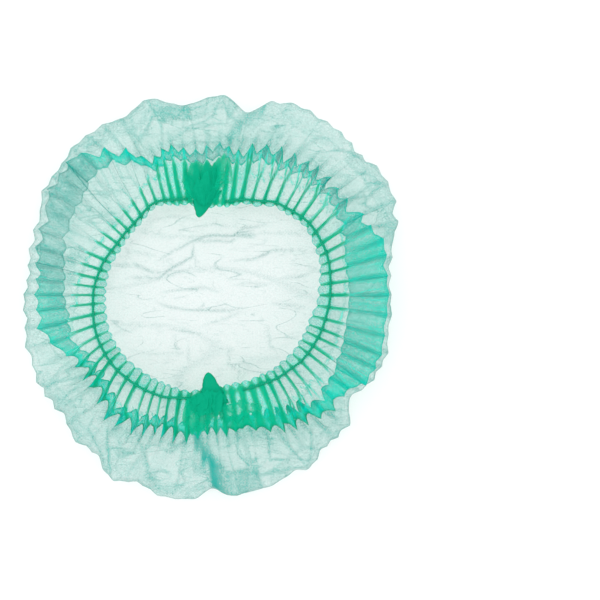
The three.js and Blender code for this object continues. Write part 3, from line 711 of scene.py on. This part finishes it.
RUNG_WIDTH = 0.1  # share of a pleat's pitch that half a standing fold takes beside the elastic

# %% Points and faces of the cloth
cloth_points = np.concatenate([side_wall.reshape(-1, 3), *crown, np.array([[0, 0, CLOTH_FOOT]])])
ring_sizes = [COLUMNS] * len(side_wall) + [len(ring) for ring in crown]
ring_starts = np.concatenate([[0], np.cumsum(ring_sizes)])
cloth_faces = []
for n in range(len(ring_sizes) - 1):
    for block in stitch_rings(ring_starts[n], ring_sizes[n], ring_starts[n + 1], ring_sizes[n + 1]):
        cloth_faces.extend(block.tolist())
middle_point = len(cloth_points) - 1
last_start, last_size = ring_starts[-2], ring_sizes[-1]
cloth_faces.extend([int(last_start + i), middle_point, int(last_start + (i + 1) % last_size)]
                   for i in range(last_size))

# %% [markdown]
# ## Plies of the pleated band
# Where a standing fold crosses the band, the eye meets its cloth edge-on: these are the dark
# rungs between the elastic and the doubled fold. The hem under the elastic, the round ends of the
# pleats, the bends of the fold and the crumples between them are dense for the same reason. All
# are finer than the folds of the mesh, so each is drawn as a profile across the band, in plies.

# %% Places on the side wall
RING_ROW = ROWS[0].steps
plan = plan_at(ring_angle)
plan_radius = np.linalg.norm(side_wall[..., :2], axis=-1)
from_ring = (plan_radius - plan_radius[RING_ROW]) / MM
reach = around(PLIES, "reach", ring_angle)
far_fold = ease((reach - 18) / 8)  # 1 where the fold lies far from the elastic


def down_rows(places, values):
    """Values at places of the section, the same all the way round."""
    return np.interp(row_place, places, values)[:, None]


def rows_between(start, end, soft):
    """1 between two places of the section, falling to 0 over soft beyond them."""
    return between(row_place, start, end, soft)[:, None]


on_top = rows_between(0, 3.2, 0.6)
print(f"the fold lies {reach.min():.0f} to {reach.max():.0f} mm outside the elastic")

# %% Rungs, hem and the round ends of the pleats
rung_fade = np.interp(from_ring, [-9, -3, 0, 5, 10, 15], [0.8, 1.0, 1.5, 1.3, 0.7, 0.1])
rung_fade = rung_fade + 0.55 * between(from_ring, 8, reach, 5)
rung_width = RUNG_WIDTH * np.interp(from_ring, [-8, 0, 5, 14, 22], [0.8, 1.4, 0.95, 0.75, 0.5])
rung_width = rung_width * mix(1.0, GATHERED_WIDENING, gathered)
rung_split = np.interp(from_ring, [8, 16, 30], [0, 0.03, 0.24]) * (1 - gathered)
rungs = rung_fade * bell(np.abs(phase) - rung_split, rung_width) * on_top * pleat_size
hem = bell(from_ring, 1.8) * on_top
loop_places = reach - 3.2 + 1.6 * pleat_size + 1.6 * np.abs(np.sin(np.pi * phase))
loops = bell(from_ring - loop_places, 0.9) * on_top * ease((20 - reach) / 4)
loops = loops * np.where((pleat_index + (phase > 0)) % 2, 1.0, 0.3)
top_plies = RUNG_PLIES * rungs + HEM_PLIES * hem + LOOP_PLIES * loops
print(f"rungs, hem and loops: up to {top_plies.max():.0f} plies")

# %% Arcs and bunched pleats on the band, and lines that run on from the fold into the bag
arc_places = 11 + 7 * pleat_size + 4 * np.abs(np.cos(np.pi * phase))
arcs = bell(from_ring - arc_places, 1.1) * on_top * (1 - gathered) * far_fold
arcs = arcs * (1 + 2 * between(ring_angle, *CROWDED, 4))
bunched = between(from_ring, 0, GATHERED_REACH, 3) * on_top * gathered
bunched = bunched * (0.16 + 0.84 * standing_fold)
top_plies += GATHERED_PLIES * bunched + ARC_PLIES * arcs

beyond = (plan_radius - plan["crest"]) / MM
tip_lines = (0.3 + bell(phase, 0.16)) * np.interp(beyond, [-8, 0, 6, 16], [0.3, 1, 0.7, 0])
tip_lines = tip_lines * rows_between(8.2, 9.6, 0.4) * far_fold
rim_lines = bell(phase, 0.13) * rows_between(8.4, 10.2, 0.3)
tip_lines = tip_lines + 0.6 * pleat_size * rim_lines * ease((24 - reach) / 8)
print(f"with arcs and bunched pleats: up to {top_plies.max():.0f} plies")

# %% The doubled fold and its two bends
over_band = ease((plan_radius - plan["tuck"]) / (3 * MM))
over_band = over_band * down_rows([1, 2, 3, 3.2], [0.4, 0.4, 0.5, 0])
on_fold = down_rows([2.6, 3, 5, 6, 7, 8, 8.6], [0, 0.7, 1.0, 0.8, 0.5, 0.2, 0])
fold_plies = np.maximum(on_fold, over_band) * around(PLIES, "band", ring_angle)
on_bends = sum(bell(row_place - bend, 0.4) for bend in (4, 7))[:, None]
bend_plies = BEND_FACTOR * on_bends * around(PLIES, "edge", ring_angle)
bend_plies = bend_plies * mix(0.75, 1.25, standing_fold)
print(f"fold: up to {fold_plies.max():.1f} plies, and {bend_plies.max():.0f} on its bends")

# %% Wrinkles of the fold and clouds of loose crumples
streaks = 1 + 0.8 * field(place_round, (38, 38, 1.2), 31)
streaks += 0.5 * field(place_round, (9, 9, 2.5), 32)
streak_lines = bell(field(place_round, (26, 26, 0.8), 33), 0.11)
pleat_lines = 0.62 + 1.5 * bell(phase, 0.09) * pleat_size
wrinkled = np.clip(streaks, 0.2, 2.2) * pleat_lines + 0.9 * streak_lines
clouds = field(place_round, (8, 8, 6), 41) + 0.6 * field(place_round, (22, 22, 14), 42) - 0.1
clouds = np.clip(clouds, 0, 1) * between(ring_angle, *CRUMPLED, 8)
clouds = clouds * between(from_ring, 11, 60, 6) * rows_between(0, 5, 1)
print(f"crumples: up to {CLOUD_PLIES * clouds.max():.1f} plies")

# %% Add the plies up
frill = FRILL_PLIES * down_rows([0, 0.9, 1.1], [1, 1, 0])
cut_edge = down_rows([0, 0.2], [CUT_PLIES, 0])
squeezed = bend_plies + top_plies + FRILL_PRESSED * frill
side_pressed = squeezed + fold_plies
side_extra = squeezed + fold_plies * wrinkled + CLOUD_PLIES * clouds + TIP_PLIES * tip_lines
side_extra += (1 - FRILL_PRESSED) * frill + CREASE_PLIES * bag_creases + edge_plies + cut_edge

crown_points = cloth_points[side_wall[..., 0].size:]
crown_angle = np.degrees(np.arctan2(crown_points[:, 1], crown_points[:, 0]))
crown_radius = np.hypot(crown_points[:, 0], crown_points[:, 1])
in_mouth = ease((plan_at(crown_angle)["ring"] - crown_radius) / (6 * MM))
crown_extra = [CREASED_CROWN * lines for lines in crown_creases]
cloth_extra = np.concatenate([side_extra.ravel(), *crown_extra, [0.0]])
# In the mouth this pressed value gives the crown the greyest painted shade.
cloth_pressed = np.concatenate([side_pressed.ravel(), SINGLE * in_mouth])
print(f"side of the bag: {side_extra.mean():.1f} plies on average beside its own")

# %% The cap's cloth as one mesh
cap_cloth = mesh_object("cap_cloth", cloth_points, cloth_faces)
set_plies(cap_cloth, cloth_extra, cloth_pressed)
print(f"cloth: {len(cloth_points)} points, {len(cloth_faces)} faces")

# %% Set the cloth on the frame
low, high = (np.array(corner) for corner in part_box("cap_body"))
own_middle = (cloth_points.min(axis=0) + cloth_points.max(axis=0)) / 2
plan_centre = ((low + high) / 2 - own_middle)[:2]


def seat(piece):
    """Moves a piece from round the middle of the mouth to its place on the frame."""
    piece.data.transform(Matrix.Translation((*plan_centre, 0)))


seat(cap_cloth)
print("plan centre lies at", (plan_centre / MM).round(1), "mm")

# %% [markdown]
# ## Finish: spunbond polypropylene
# Spunbond is a web of fine endless fibres pressed together at a grid of small bond points. It
# is matt and milky, and lets most light through. The opacity of a stack of plies follows the
# rule of filters: each ply lets through the same share of what reaches it. A single Principled
# shader with that opacity keeps the finish simple, and the layers behind still add up.

# %% Node helpers
def compute(tree, operation, a, b=0.0):
    """The output of a math node on two values or sockets."""
    return add_node(tree, "ShaderNodeMath", {0: a, 1: b}, operation=operation).outputs[0]


def remap(tree, value, before, after):
    """A socket's values taken from one range to another, and held inside it."""
    return add_node(tree, "ShaderNodeMapRange", {
        "Value": value, "From Min": before[0], "From Max": before[1],
        "To Min": after[0], "To Max": after[1]}).outputs[0]


# %% Cloth finish
PLY_OPACITY = 0.125
BOND_PITCH = 1.6 * MM  # the real bond points are about 1 mm apart, too fine for this picture
FIBRE_SIZE = 1.2 * MM  # clumps of fibres, drawn coarser than the real 0.3 mm
CREASE_SPACING, CRUMPLE_SPACING = 15 * MM, 5.5 * MM
CREASE_STRETCH = 0.3  # the creases of the packet run along X
CREASE_TURN = math.radians(7)
# The single and thin greens are greyed with painted shade, for the shade of thin cloth that casts
# no shadow here; the core green is darkened with painted shade, for a gather's shaded core.
SHADED_SINGLE_GREEN, SHADED_THIN_GREEN, BAND_GREEN = "#3F928C", "#20A69A", "#00CEB8"
DEEP_GREEN, SHADED_CORE_GREEN = "#00AF85", "#009F78"


def fine_lines(tree, place, spacing, width, plies):
    """Plies of fine creases, which run, in patches, where a noise stretched along X is middling."""
    stretched = add_node(tree, "ShaderNodeMapping", {
        "Vector": place, "Rotation": (0, 0, CREASE_TURN),
        "Scale": (CREASE_STRETCH / spacing, 1 / spacing, 1 / spacing)})
    wander = add_node(tree, "ShaderNodeTexNoise", {
        "Vector": stretched.outputs[0], "Scale": 1.0, "Detail": 1.0, "Roughness": 0.4,
        "Distortion": 0.8})
    away = compute(tree, "ABSOLUTE", compute(tree, "SUBTRACT", wander.outputs["Fac"], 0.5))
    patches = add_node(tree, "ShaderNodeTexNoise", {
        "Vector": place, "Scale": 0.7 / spacing, "Detail": 1.0})
    here = remap(tree, patches.outputs["Fac"], (0.46, 0.6), (0.0, plies))
    return remap(tree, away, (0.0, width), (here, 0.0))


def spunbond(name, colours, stops):
    """See-through nonwoven cloth, whose opacity and colour follow the plies stored in the mesh;
    some of its colours carry painted shade.
    """
    material, tree = new_material(name)
    place = add_node(tree, "ShaderNodeTexCoord").outputs["Object"]
    stored = add_node(tree, "ShaderNodeAttribute", attribute_name="plies").outputs["Fac"]
    pressed = add_node(tree, "ShaderNodeAttribute", attribute_name="pressed").outputs["Fac"]
    creases = fine_lines(tree, place, CREASE_SPACING, width=0.02, plies=2.6)
    crumples = fine_lines(tree, place, CRUMPLE_SPACING, width=0.05, plies=0.6)
    plies = compute(tree, "ADD", stored, compute(tree, "ADD", creases, crumples))

    turned = add_node(tree, "ShaderNodeMapping", {
        "Vector": place, "Rotation": (0, 0, math.radians(45)), "Scale": (1 / BOND_PITCH,) * 3})
    cells = add_node(tree, "ShaderNodeTexVoronoi", {
        "Vector": turned.outputs[0], "Scale": 1.0, "Randomness": 0.25}, feature="F1")
    bond = remap(tree, cells.outputs["Distance"], (0.15, 0.55), (0.72, 1.14))
    fibres = add_node(tree, "ShaderNodeTexNoise", {
        "Vector": place, "Scale": 1 / FIBRE_SIZE, "Detail": 3.0, "Roughness": 0.7})
    clumps = remap(tree, fibres.outputs["Fac"], (0.3, 0.7), (0.4, 1.6))
    web = compute(tree, "MULTIPLY", bond, clumps)
    through = compute(tree, "POWER", 1 - PLY_OPACITY, compute(tree, "MULTIPLY", web, plies))
    opacity = compute(tree, "SUBTRACT", 1.0, through)

    # Colour steps by pressed plies; the greyed or darkened ones are painted shade.
    tint = linear(colours[0])
    for colour, stop in zip(colours[1:], stops):
        depth = remap(tree, pressed, stop, (0.0, 1.0))
        tint = add_node(tree, "ShaderNodeMix", {0: depth, 6: tint, 7: linear(colour)},
                        data_type="RGBA").outputs[2]
    relief = add_node(tree, "ShaderNodeBump", {
        "Strength": 0.25, "Distance": 0.1 * MM, "Height": web})
    cloth = add_node(tree, "ShaderNodeBsdfPrincipled", {
        "Base Color": tint, "Roughness": 0.65, "IOR": 1.49, "Specular IOR Level": 0.05,
        "Alpha": opacity, "Normal": relief.outputs[0]})
    add_node(tree, "ShaderNodeOutputMaterial", {"Surface": cloth.outputs[0]})
    return material


def dress(piece, material, node):
    """Gives a piece its finish, and lets it stand for its node of the frame."""
    piece.data.materials.append(material)
    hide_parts(node)
    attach(piece, "root")


# The single and thin greens carry painted shade.
cap_spunbond = spunbond(
    "green_spunbond", [SHADED_SINGLE_GREEN, SHADED_THIN_GREEN, BAND_GREEN, DEEP_GREEN],
    [(SINGLE, 0.0), (1.2, 3.8), (6.5, 13.0)])
dress(cap_cloth, cap_spunbond, "cap_body")
cap_cloth.visible_shadow = False  # thin spunbond scatters nearly all light on through itself
print("cloth finish: one ply hides", PLY_OPACITY)

# %% [markdown]
# ## End gathers
# At each end the folded strip was welded, so the pleats stay bunched there: several sheets lie
# over each other, fluted towards the weld, with a ragged outer edge and the short welded tail
# pointing into the mouth. The rear one is a round clump. The front one is dense at its left and
# opens to the right into upright folds with narrow slits between them.

# %% Sizes of the gathers
# A gather goes from its first to its last pleat. Its core, a place and a half width in shares of
# it, is dense, and pinch is how far its sheets are drawn towards the core at the mouth. A bunch
# is one sheet: how far it rises, its left and right end in shares of the gather, its inner and
# outer edge in shares of the way from the frill to the crest, and its plies. A tail has an angle,
# a length, a half width at its root and at its tip, and a shift of its root to one side.
Gather = namedtuple("Gather", "name first last core core_width pinch tail bunches")
Tail = namedtuple("Tail", "angle length root tip skew")
Bunch = namedtuple("Bunch", "lift left right inner outer plies")
GATHERS = [
    Gather(
        "rear", 15.6, 20.5, core=0.55, core_width=0.3, pinch=0.5,
        tail=Tail(96, 12.5 * MM, 12.5 * MM, 2.2 * MM, 7.5 * MM),
        bunches=[
            Bunch(0.25, 0.0, 1.0, 0.04, 0.76, 16), Bunch(0.45, -0.08, 0.4, 0.26, 0.94, 18),
            Bunch(0.7, 0.22, 1.0, 0.05, 0.86, 24), Bunch(1.0, 0.3, 0.84, 0.02, 0.6, 30)]),
    Gather(
        "front", 51.9, 58.8, core=0.3, core_width=0.3, pinch=0.1,
        tail=Tail(270.5, 17.5 * MM, 12 * MM, 2.7 * MM, -4.5 * MM),
        bunches=[
            Bunch(0.25, 0.0, 0.66, 0.06, 0.72, 16), Bunch(0.45, -0.06, 0.46, 0.1, 1.02, 15),
            Bunch(0.6, 0.44, 1.1, 0.42, 0.92, 20), Bunch(1.0, 0.02, 0.66, 0.08, 0.66, 30)]),
]
BUNCH_SEAT = 33.2 * MM  # the top of the cloth under a gather
BUNCH_EDGE, BUNCH_PEAK = 1.6 * MM, 7.2 * MM
FLUTE_HEIGHT = 0.6 * MM
FLUTES = 1.15  # for each pleat
BUNCH_ROWS, BUNCH_COLUMNS = 46, 26  # rows of a sheet, and its columns for each pleat
TAIL_LEVEL, TAIL_THICK = 33.4 * MM, 1.5 * MM
TAIL_ROOT = 7 * MM  # how far a tail reaches back into its gather
TAIL_RINGS, TAIL_SIDES = 34, 26
TAIL_POINT = 0.82  # share of a tail's length at which it starts to round off
# The tail's plies also give it the full core green, a painted shade.
TAIL_PLIES = 24.0


# %% Sheets and tails
def bunch_sheet(gather, bunch, seed):
    """Points and plies of one sheet of a gather, as grids."""
    pleats = gather.last - gather.first
    columns = int(pleats * (bunch.right - bunch.left) * BUNCH_COLUMNS)
    u, v = np.meshgrid(np.linspace(bunch.left, bunch.right, columns),
                       np.linspace(0, 1, BUNCH_ROWS))
    across = (u - bunch.left) / (bunch.right - bunch.left)
    swell = np.sin(np.pi * np.clip(across, 0.02, 0.98))
    corner = 1 - np.sqrt(swell)
    warp = field(np.stack([u * pleats, v * 1.3, 0 * u], -1), 1.2, seed)
    turns = FLUTES * pleats * u + 0.8 * warp
    flute = np.cos(2 * np.pi * turns)
    tatter = field(np.stack([u * pleats * 2.5, 0 * u, 0 * u], -1), 1, seed + 1)
    inner = bunch.inner + 0.12 * corner + 0.03 * flute
    outer = bunch.outer - 0.5 * corner + 0.04 * flute + 0.12 * tatter
    along = mix(inner, outer, v)
    drawn = mix(u, gather.core, gather.pinch * (1 - v) ** 2)
    at_ring = spread_angle(mix(gather.first, gather.last, drawn) * 360 / PLEATS)
    angle = fanned(at_ring, along)
    plan = plan_at(angle)
    radius = mix(plan["frill"], plan["crest"] - FOLD_NOSE, along)
    rise = np.sqrt(swell * np.sin(np.pi * np.clip(along, 0.04, 0.96)))
    crumple = field(np.stack([u * pleats, v * 4, 0 * u], -1), 1.6, seed + 2)
    height = BUNCH_SEAT + bunch.lift * mix(BUNCH_EDGE, BUNCH_PEAK, rise)
    height = height + FLUTE_HEIGHT * (flute * (0.4 + 0.6 * v) + 0.8 * crumple)
    beside = ease((np.abs(u - gather.core) - gather.core_width) / 0.14)
    slit = beside * bell(flute + 0.8, 0.55) * between(v, 0.28, 0.7, 0.2)
    plies = bunch.plies * (0.8 + 0.4 * flute**2) * mix(0.5, 1.0, ease((1 - v) / 0.12))
    return polar(radius, angle, height), plies * (1 - 0.9 * slit) * mix(1.0, 0.6, beside)


def tail_tube(tail, seed):
    """Points of the closed, crumpled tail of a gather, as a grid of sections."""
    sides = np.arange(TAIL_SIDES) * 2 * np.pi / TAIL_SIDES
    s, turn = np.meshgrid(np.linspace(0, 1, TAIL_RINGS), sides, indexing="ij")
    past_point = np.clip(s - TAIL_POINT, 0, 1) / (1 - TAIL_POINT)
    tip_round = np.sqrt(np.clip(1 - past_point**2, 0.004, 1))
    half_width = mix(tail.tip, tail.root, (1 - s) ** 1.1) * tip_round
    half_thick = TAIL_THICK * mix(1.0, 0.75, s) * tip_round
    places = np.stack([s * 5, np.cos(turn), np.sin(turn)], -1)
    crumple = 1 + 0.16 * field(places, 1.6, seed) + 0.08 * np.cos(7 * turn + 3 * s)
    reach = mix(-TAIL_ROOT, tail.length, s)
    inward = -polar(1.0, tail.angle, 0.0)
    across = np.array([-inward[1], inward[0], 0])
    foot = polar(plan_at(np.array([tail.angle]))["ring"][0], tail.angle, TAIL_LEVEL)
    side = (half_width * np.cos(turn) * crumple + tail.skew * (1 - s))[..., None] * across
    up = (half_thick * np.sin(turn) * crumple)[..., None] * np.array([0, 0, 1])
    return foot + reach[..., None] * inward + side + up


def tube_faces(rings, sides, start):
    """Faces of a closed tube: quads between its rings of points, and a cap at each end."""
    last = start + (rings - 1) * sides
    caps = [list(range(start, start + sides))[::-1], list(range(last, last + sides))]
    return grid_faces(rings, sides, start, closed=True) + caps


def gather_piece(gather, seed):
    """A gather as one object: its sheets and its tail."""
    points, faces, extra, start = [], [], [], 0
    for n, bunch in enumerate(gather.bunches):
        sheet, plies = bunch_sheet(gather, bunch, seed + 5 * n)
        faces += grid_faces(*sheet.shape[:2], start)
        points.append(sheet.reshape(-1, 3))
        extra.append(plies.ravel())
        start += len(points[-1])
    faces += tube_faces(TAIL_RINGS, TAIL_SIDES, start)
    points.append(tail_tube(gather.tail, seed + 40).reshape(-1, 3))
    extra.append(np.full(len(points[-1]), TAIL_PLIES))
    piece = mesh_object(f"gather_{gather.name}", np.concatenate(points), faces)
    extra = np.concatenate(extra)
    set_plies(piece, extra, extra)
    seat(piece)
    return piece


# The core green, a painted shade, darkens the most pressed plies: the cores and tails of the
# gathers.
bunched_cloth = spunbond("bunched_green_spunbond", [DEEP_GREEN, SHADED_CORE_GREEN], [(8.0, 24.0)])
for n, gather in enumerate(GATHERS):
    piece = gather_piece(gather, 60 + 50 * n)
    dress(piece, bunched_cloth, f"end_gather_{gather.name}")
    piece.visible_shadow = False
    print(piece.name, "has", len(piece.data.polygons), "faces")

# %% [markdown]
# ## Elastic
# The elastic is a covered rubber thread about two millimetres thick. It runs over the standing
# folds of the pleats from one gather to the other, on both sides. Its two plies are laid round
# each other, which shows as a fine rope twist.

# %% Elastic threads
THREAD_RADIUS = 0.65 * MM  # of one of its two plies
THREAD_ORBIT = 0.5 * MM  # from the middle of the thread to that of a ply
TWIST_PITCH = 3.4 * MM
THREAD_LIFT = 0.95 * MM  # of the thread's middle above the ridges
THREAD_SIDES = 8
THREAD_STEP = 0.5 * MM
SMOOTHED = 15  # steps over which a thread evens out the ridges
YARN_WRAP = 0.5 * MM
RIDGES = np.arange(PLEATS) * len(FOLD_PHASES) + FOLD_PHASES.index(0)


def even_path(points, step, smooth):
    """A polyline resampled at even steps and smoothed."""
    lengths = np.concatenate([[0], np.cumsum(np.linalg.norm(np.diff(points, axis=0), axis=1))])
    at = np.linspace(0, lengths[-1], int(lengths[-1] / step))
    path = np.stack([np.interp(at, lengths, points[:, k]) for k in range(3)], -1)
    window = np.ones(smooth) / smooth
    padded = np.pad(path, ((smooth // 2, smooth // 2), (0, 0)), mode="edge")
    return np.stack([np.convolve(padded[:, k], window, "valid") for k in range(3)], -1)


def twisted_thread(name, path):
    """Two plies laid round a path, as closed tubes."""
    forward = unit(np.gradient(path, axis=0))
    side = unit(np.cross(forward, (0, 0, 1)))
    up = np.cross(side, forward)
    lay = np.arange(len(path)) * THREAD_STEP * 2 * np.pi / TWIST_PITCH
    turn = (np.arange(THREAD_SIDES) * 2 * np.pi / THREAD_SIDES)[:, None]
    ring = np.cos(turn) * side[:, None] + np.sin(turn) * up[:, None]
    points, faces = [], []
    for ply in (0, np.pi):
        at = (lay + ply)[:, None]
        centre = path + THREAD_ORBIT * (np.cos(at) * side + np.sin(at) * up)
        faces += tube_faces(len(path), THREAD_SIDES, len(points) * len(path) * THREAD_SIDES)
        points.append((centre[:, None] + THREAD_RADIUS * ring).reshape(-1, 3))
    piece = mesh_object(name, np.concatenate(points), faces)
    seat(piece)
    return piece


def covered_thread(name, hex_colour):
    """Opaque covered elastic, with the fine wraps of its covering yarn."""
    material, tree = new_material(name)
    place = add_node(tree, "ShaderNodeTexCoord").outputs["Object"]
    wraps = add_node(tree, "ShaderNodeTexNoise", {
        "Vector": place, "Scale": 1 / YARN_WRAP, "Detail": 2.0})
    shade = remap(tree, wraps.outputs["Fac"], (0.3, 0.7), (0.75, 1.15))
    colour = add_node(tree, "ShaderNodeMix", {
        0: 1.0, 6: linear(hex_colour), 7: shade}, data_type="RGBA", blend_type="MULTIPLY")
    relief = add_node(tree, "ShaderNodeBump", {
        "Strength": 0.4, "Distance": 0.1 * MM, "Height": wraps.outputs["Fac"]})
    yarn = add_node(tree, "ShaderNodeBsdfPrincipled", {
        "Base Color": colour.outputs[2], "Roughness": 0.55, "IOR": 1.5, "Specular IOR Level": 0.2,
        "Normal": relief.outputs[0]})
    add_node(tree, "ShaderNodeOutputMaterial", {"Surface": yarn.outputs[0]})
    return material


elastic_yarn = covered_thread("green_elastic_yarn", "#06A881")
ridge_points = side_wall[RING_ROW][RIDGES] + np.array([0, 0, THREAD_LIFT])
rear, front = GATHERS
runs = [("left", rear.last, front.first), ("right", front.last, rear.first + PLEATS)]
for name, first, last in runs:
    route = ridge_points[np.arange(math.floor(first), math.ceil(last) + 1) % PLEATS]
    thread = twisted_thread(f"elastic_thread_{name}", even_path(route, THREAD_STEP, SMOOTHED))
    dress(thread, elastic_yarn, f"elastic_{name}")
    print(thread.name, "has", len(thread.data.polygons), "faces")

# %% [markdown]
# ## Camera last
# The plan's centre is known once the cloth is seated, so the camera is set over it now.

# %% Set the camera
camera = add_camera(plan_centre)
print("camera at", tuple(round(v, 3) for v in camera.location))

# %% [markdown]
# ## The cloth's flat size
# The cap is cut from one flat piece of cloth and held gathered by its elastic, so the area of
# the cloth's mesh, printed below, gives the size of that piece.

# %% Finish
areas = np.empty(len(cap_cloth.data.polygons), dtype=np.float32)
cap_cloth.data.polygons.foreach_get("area", areas)
print(f"cloth area {areas.sum():.3f} m2")
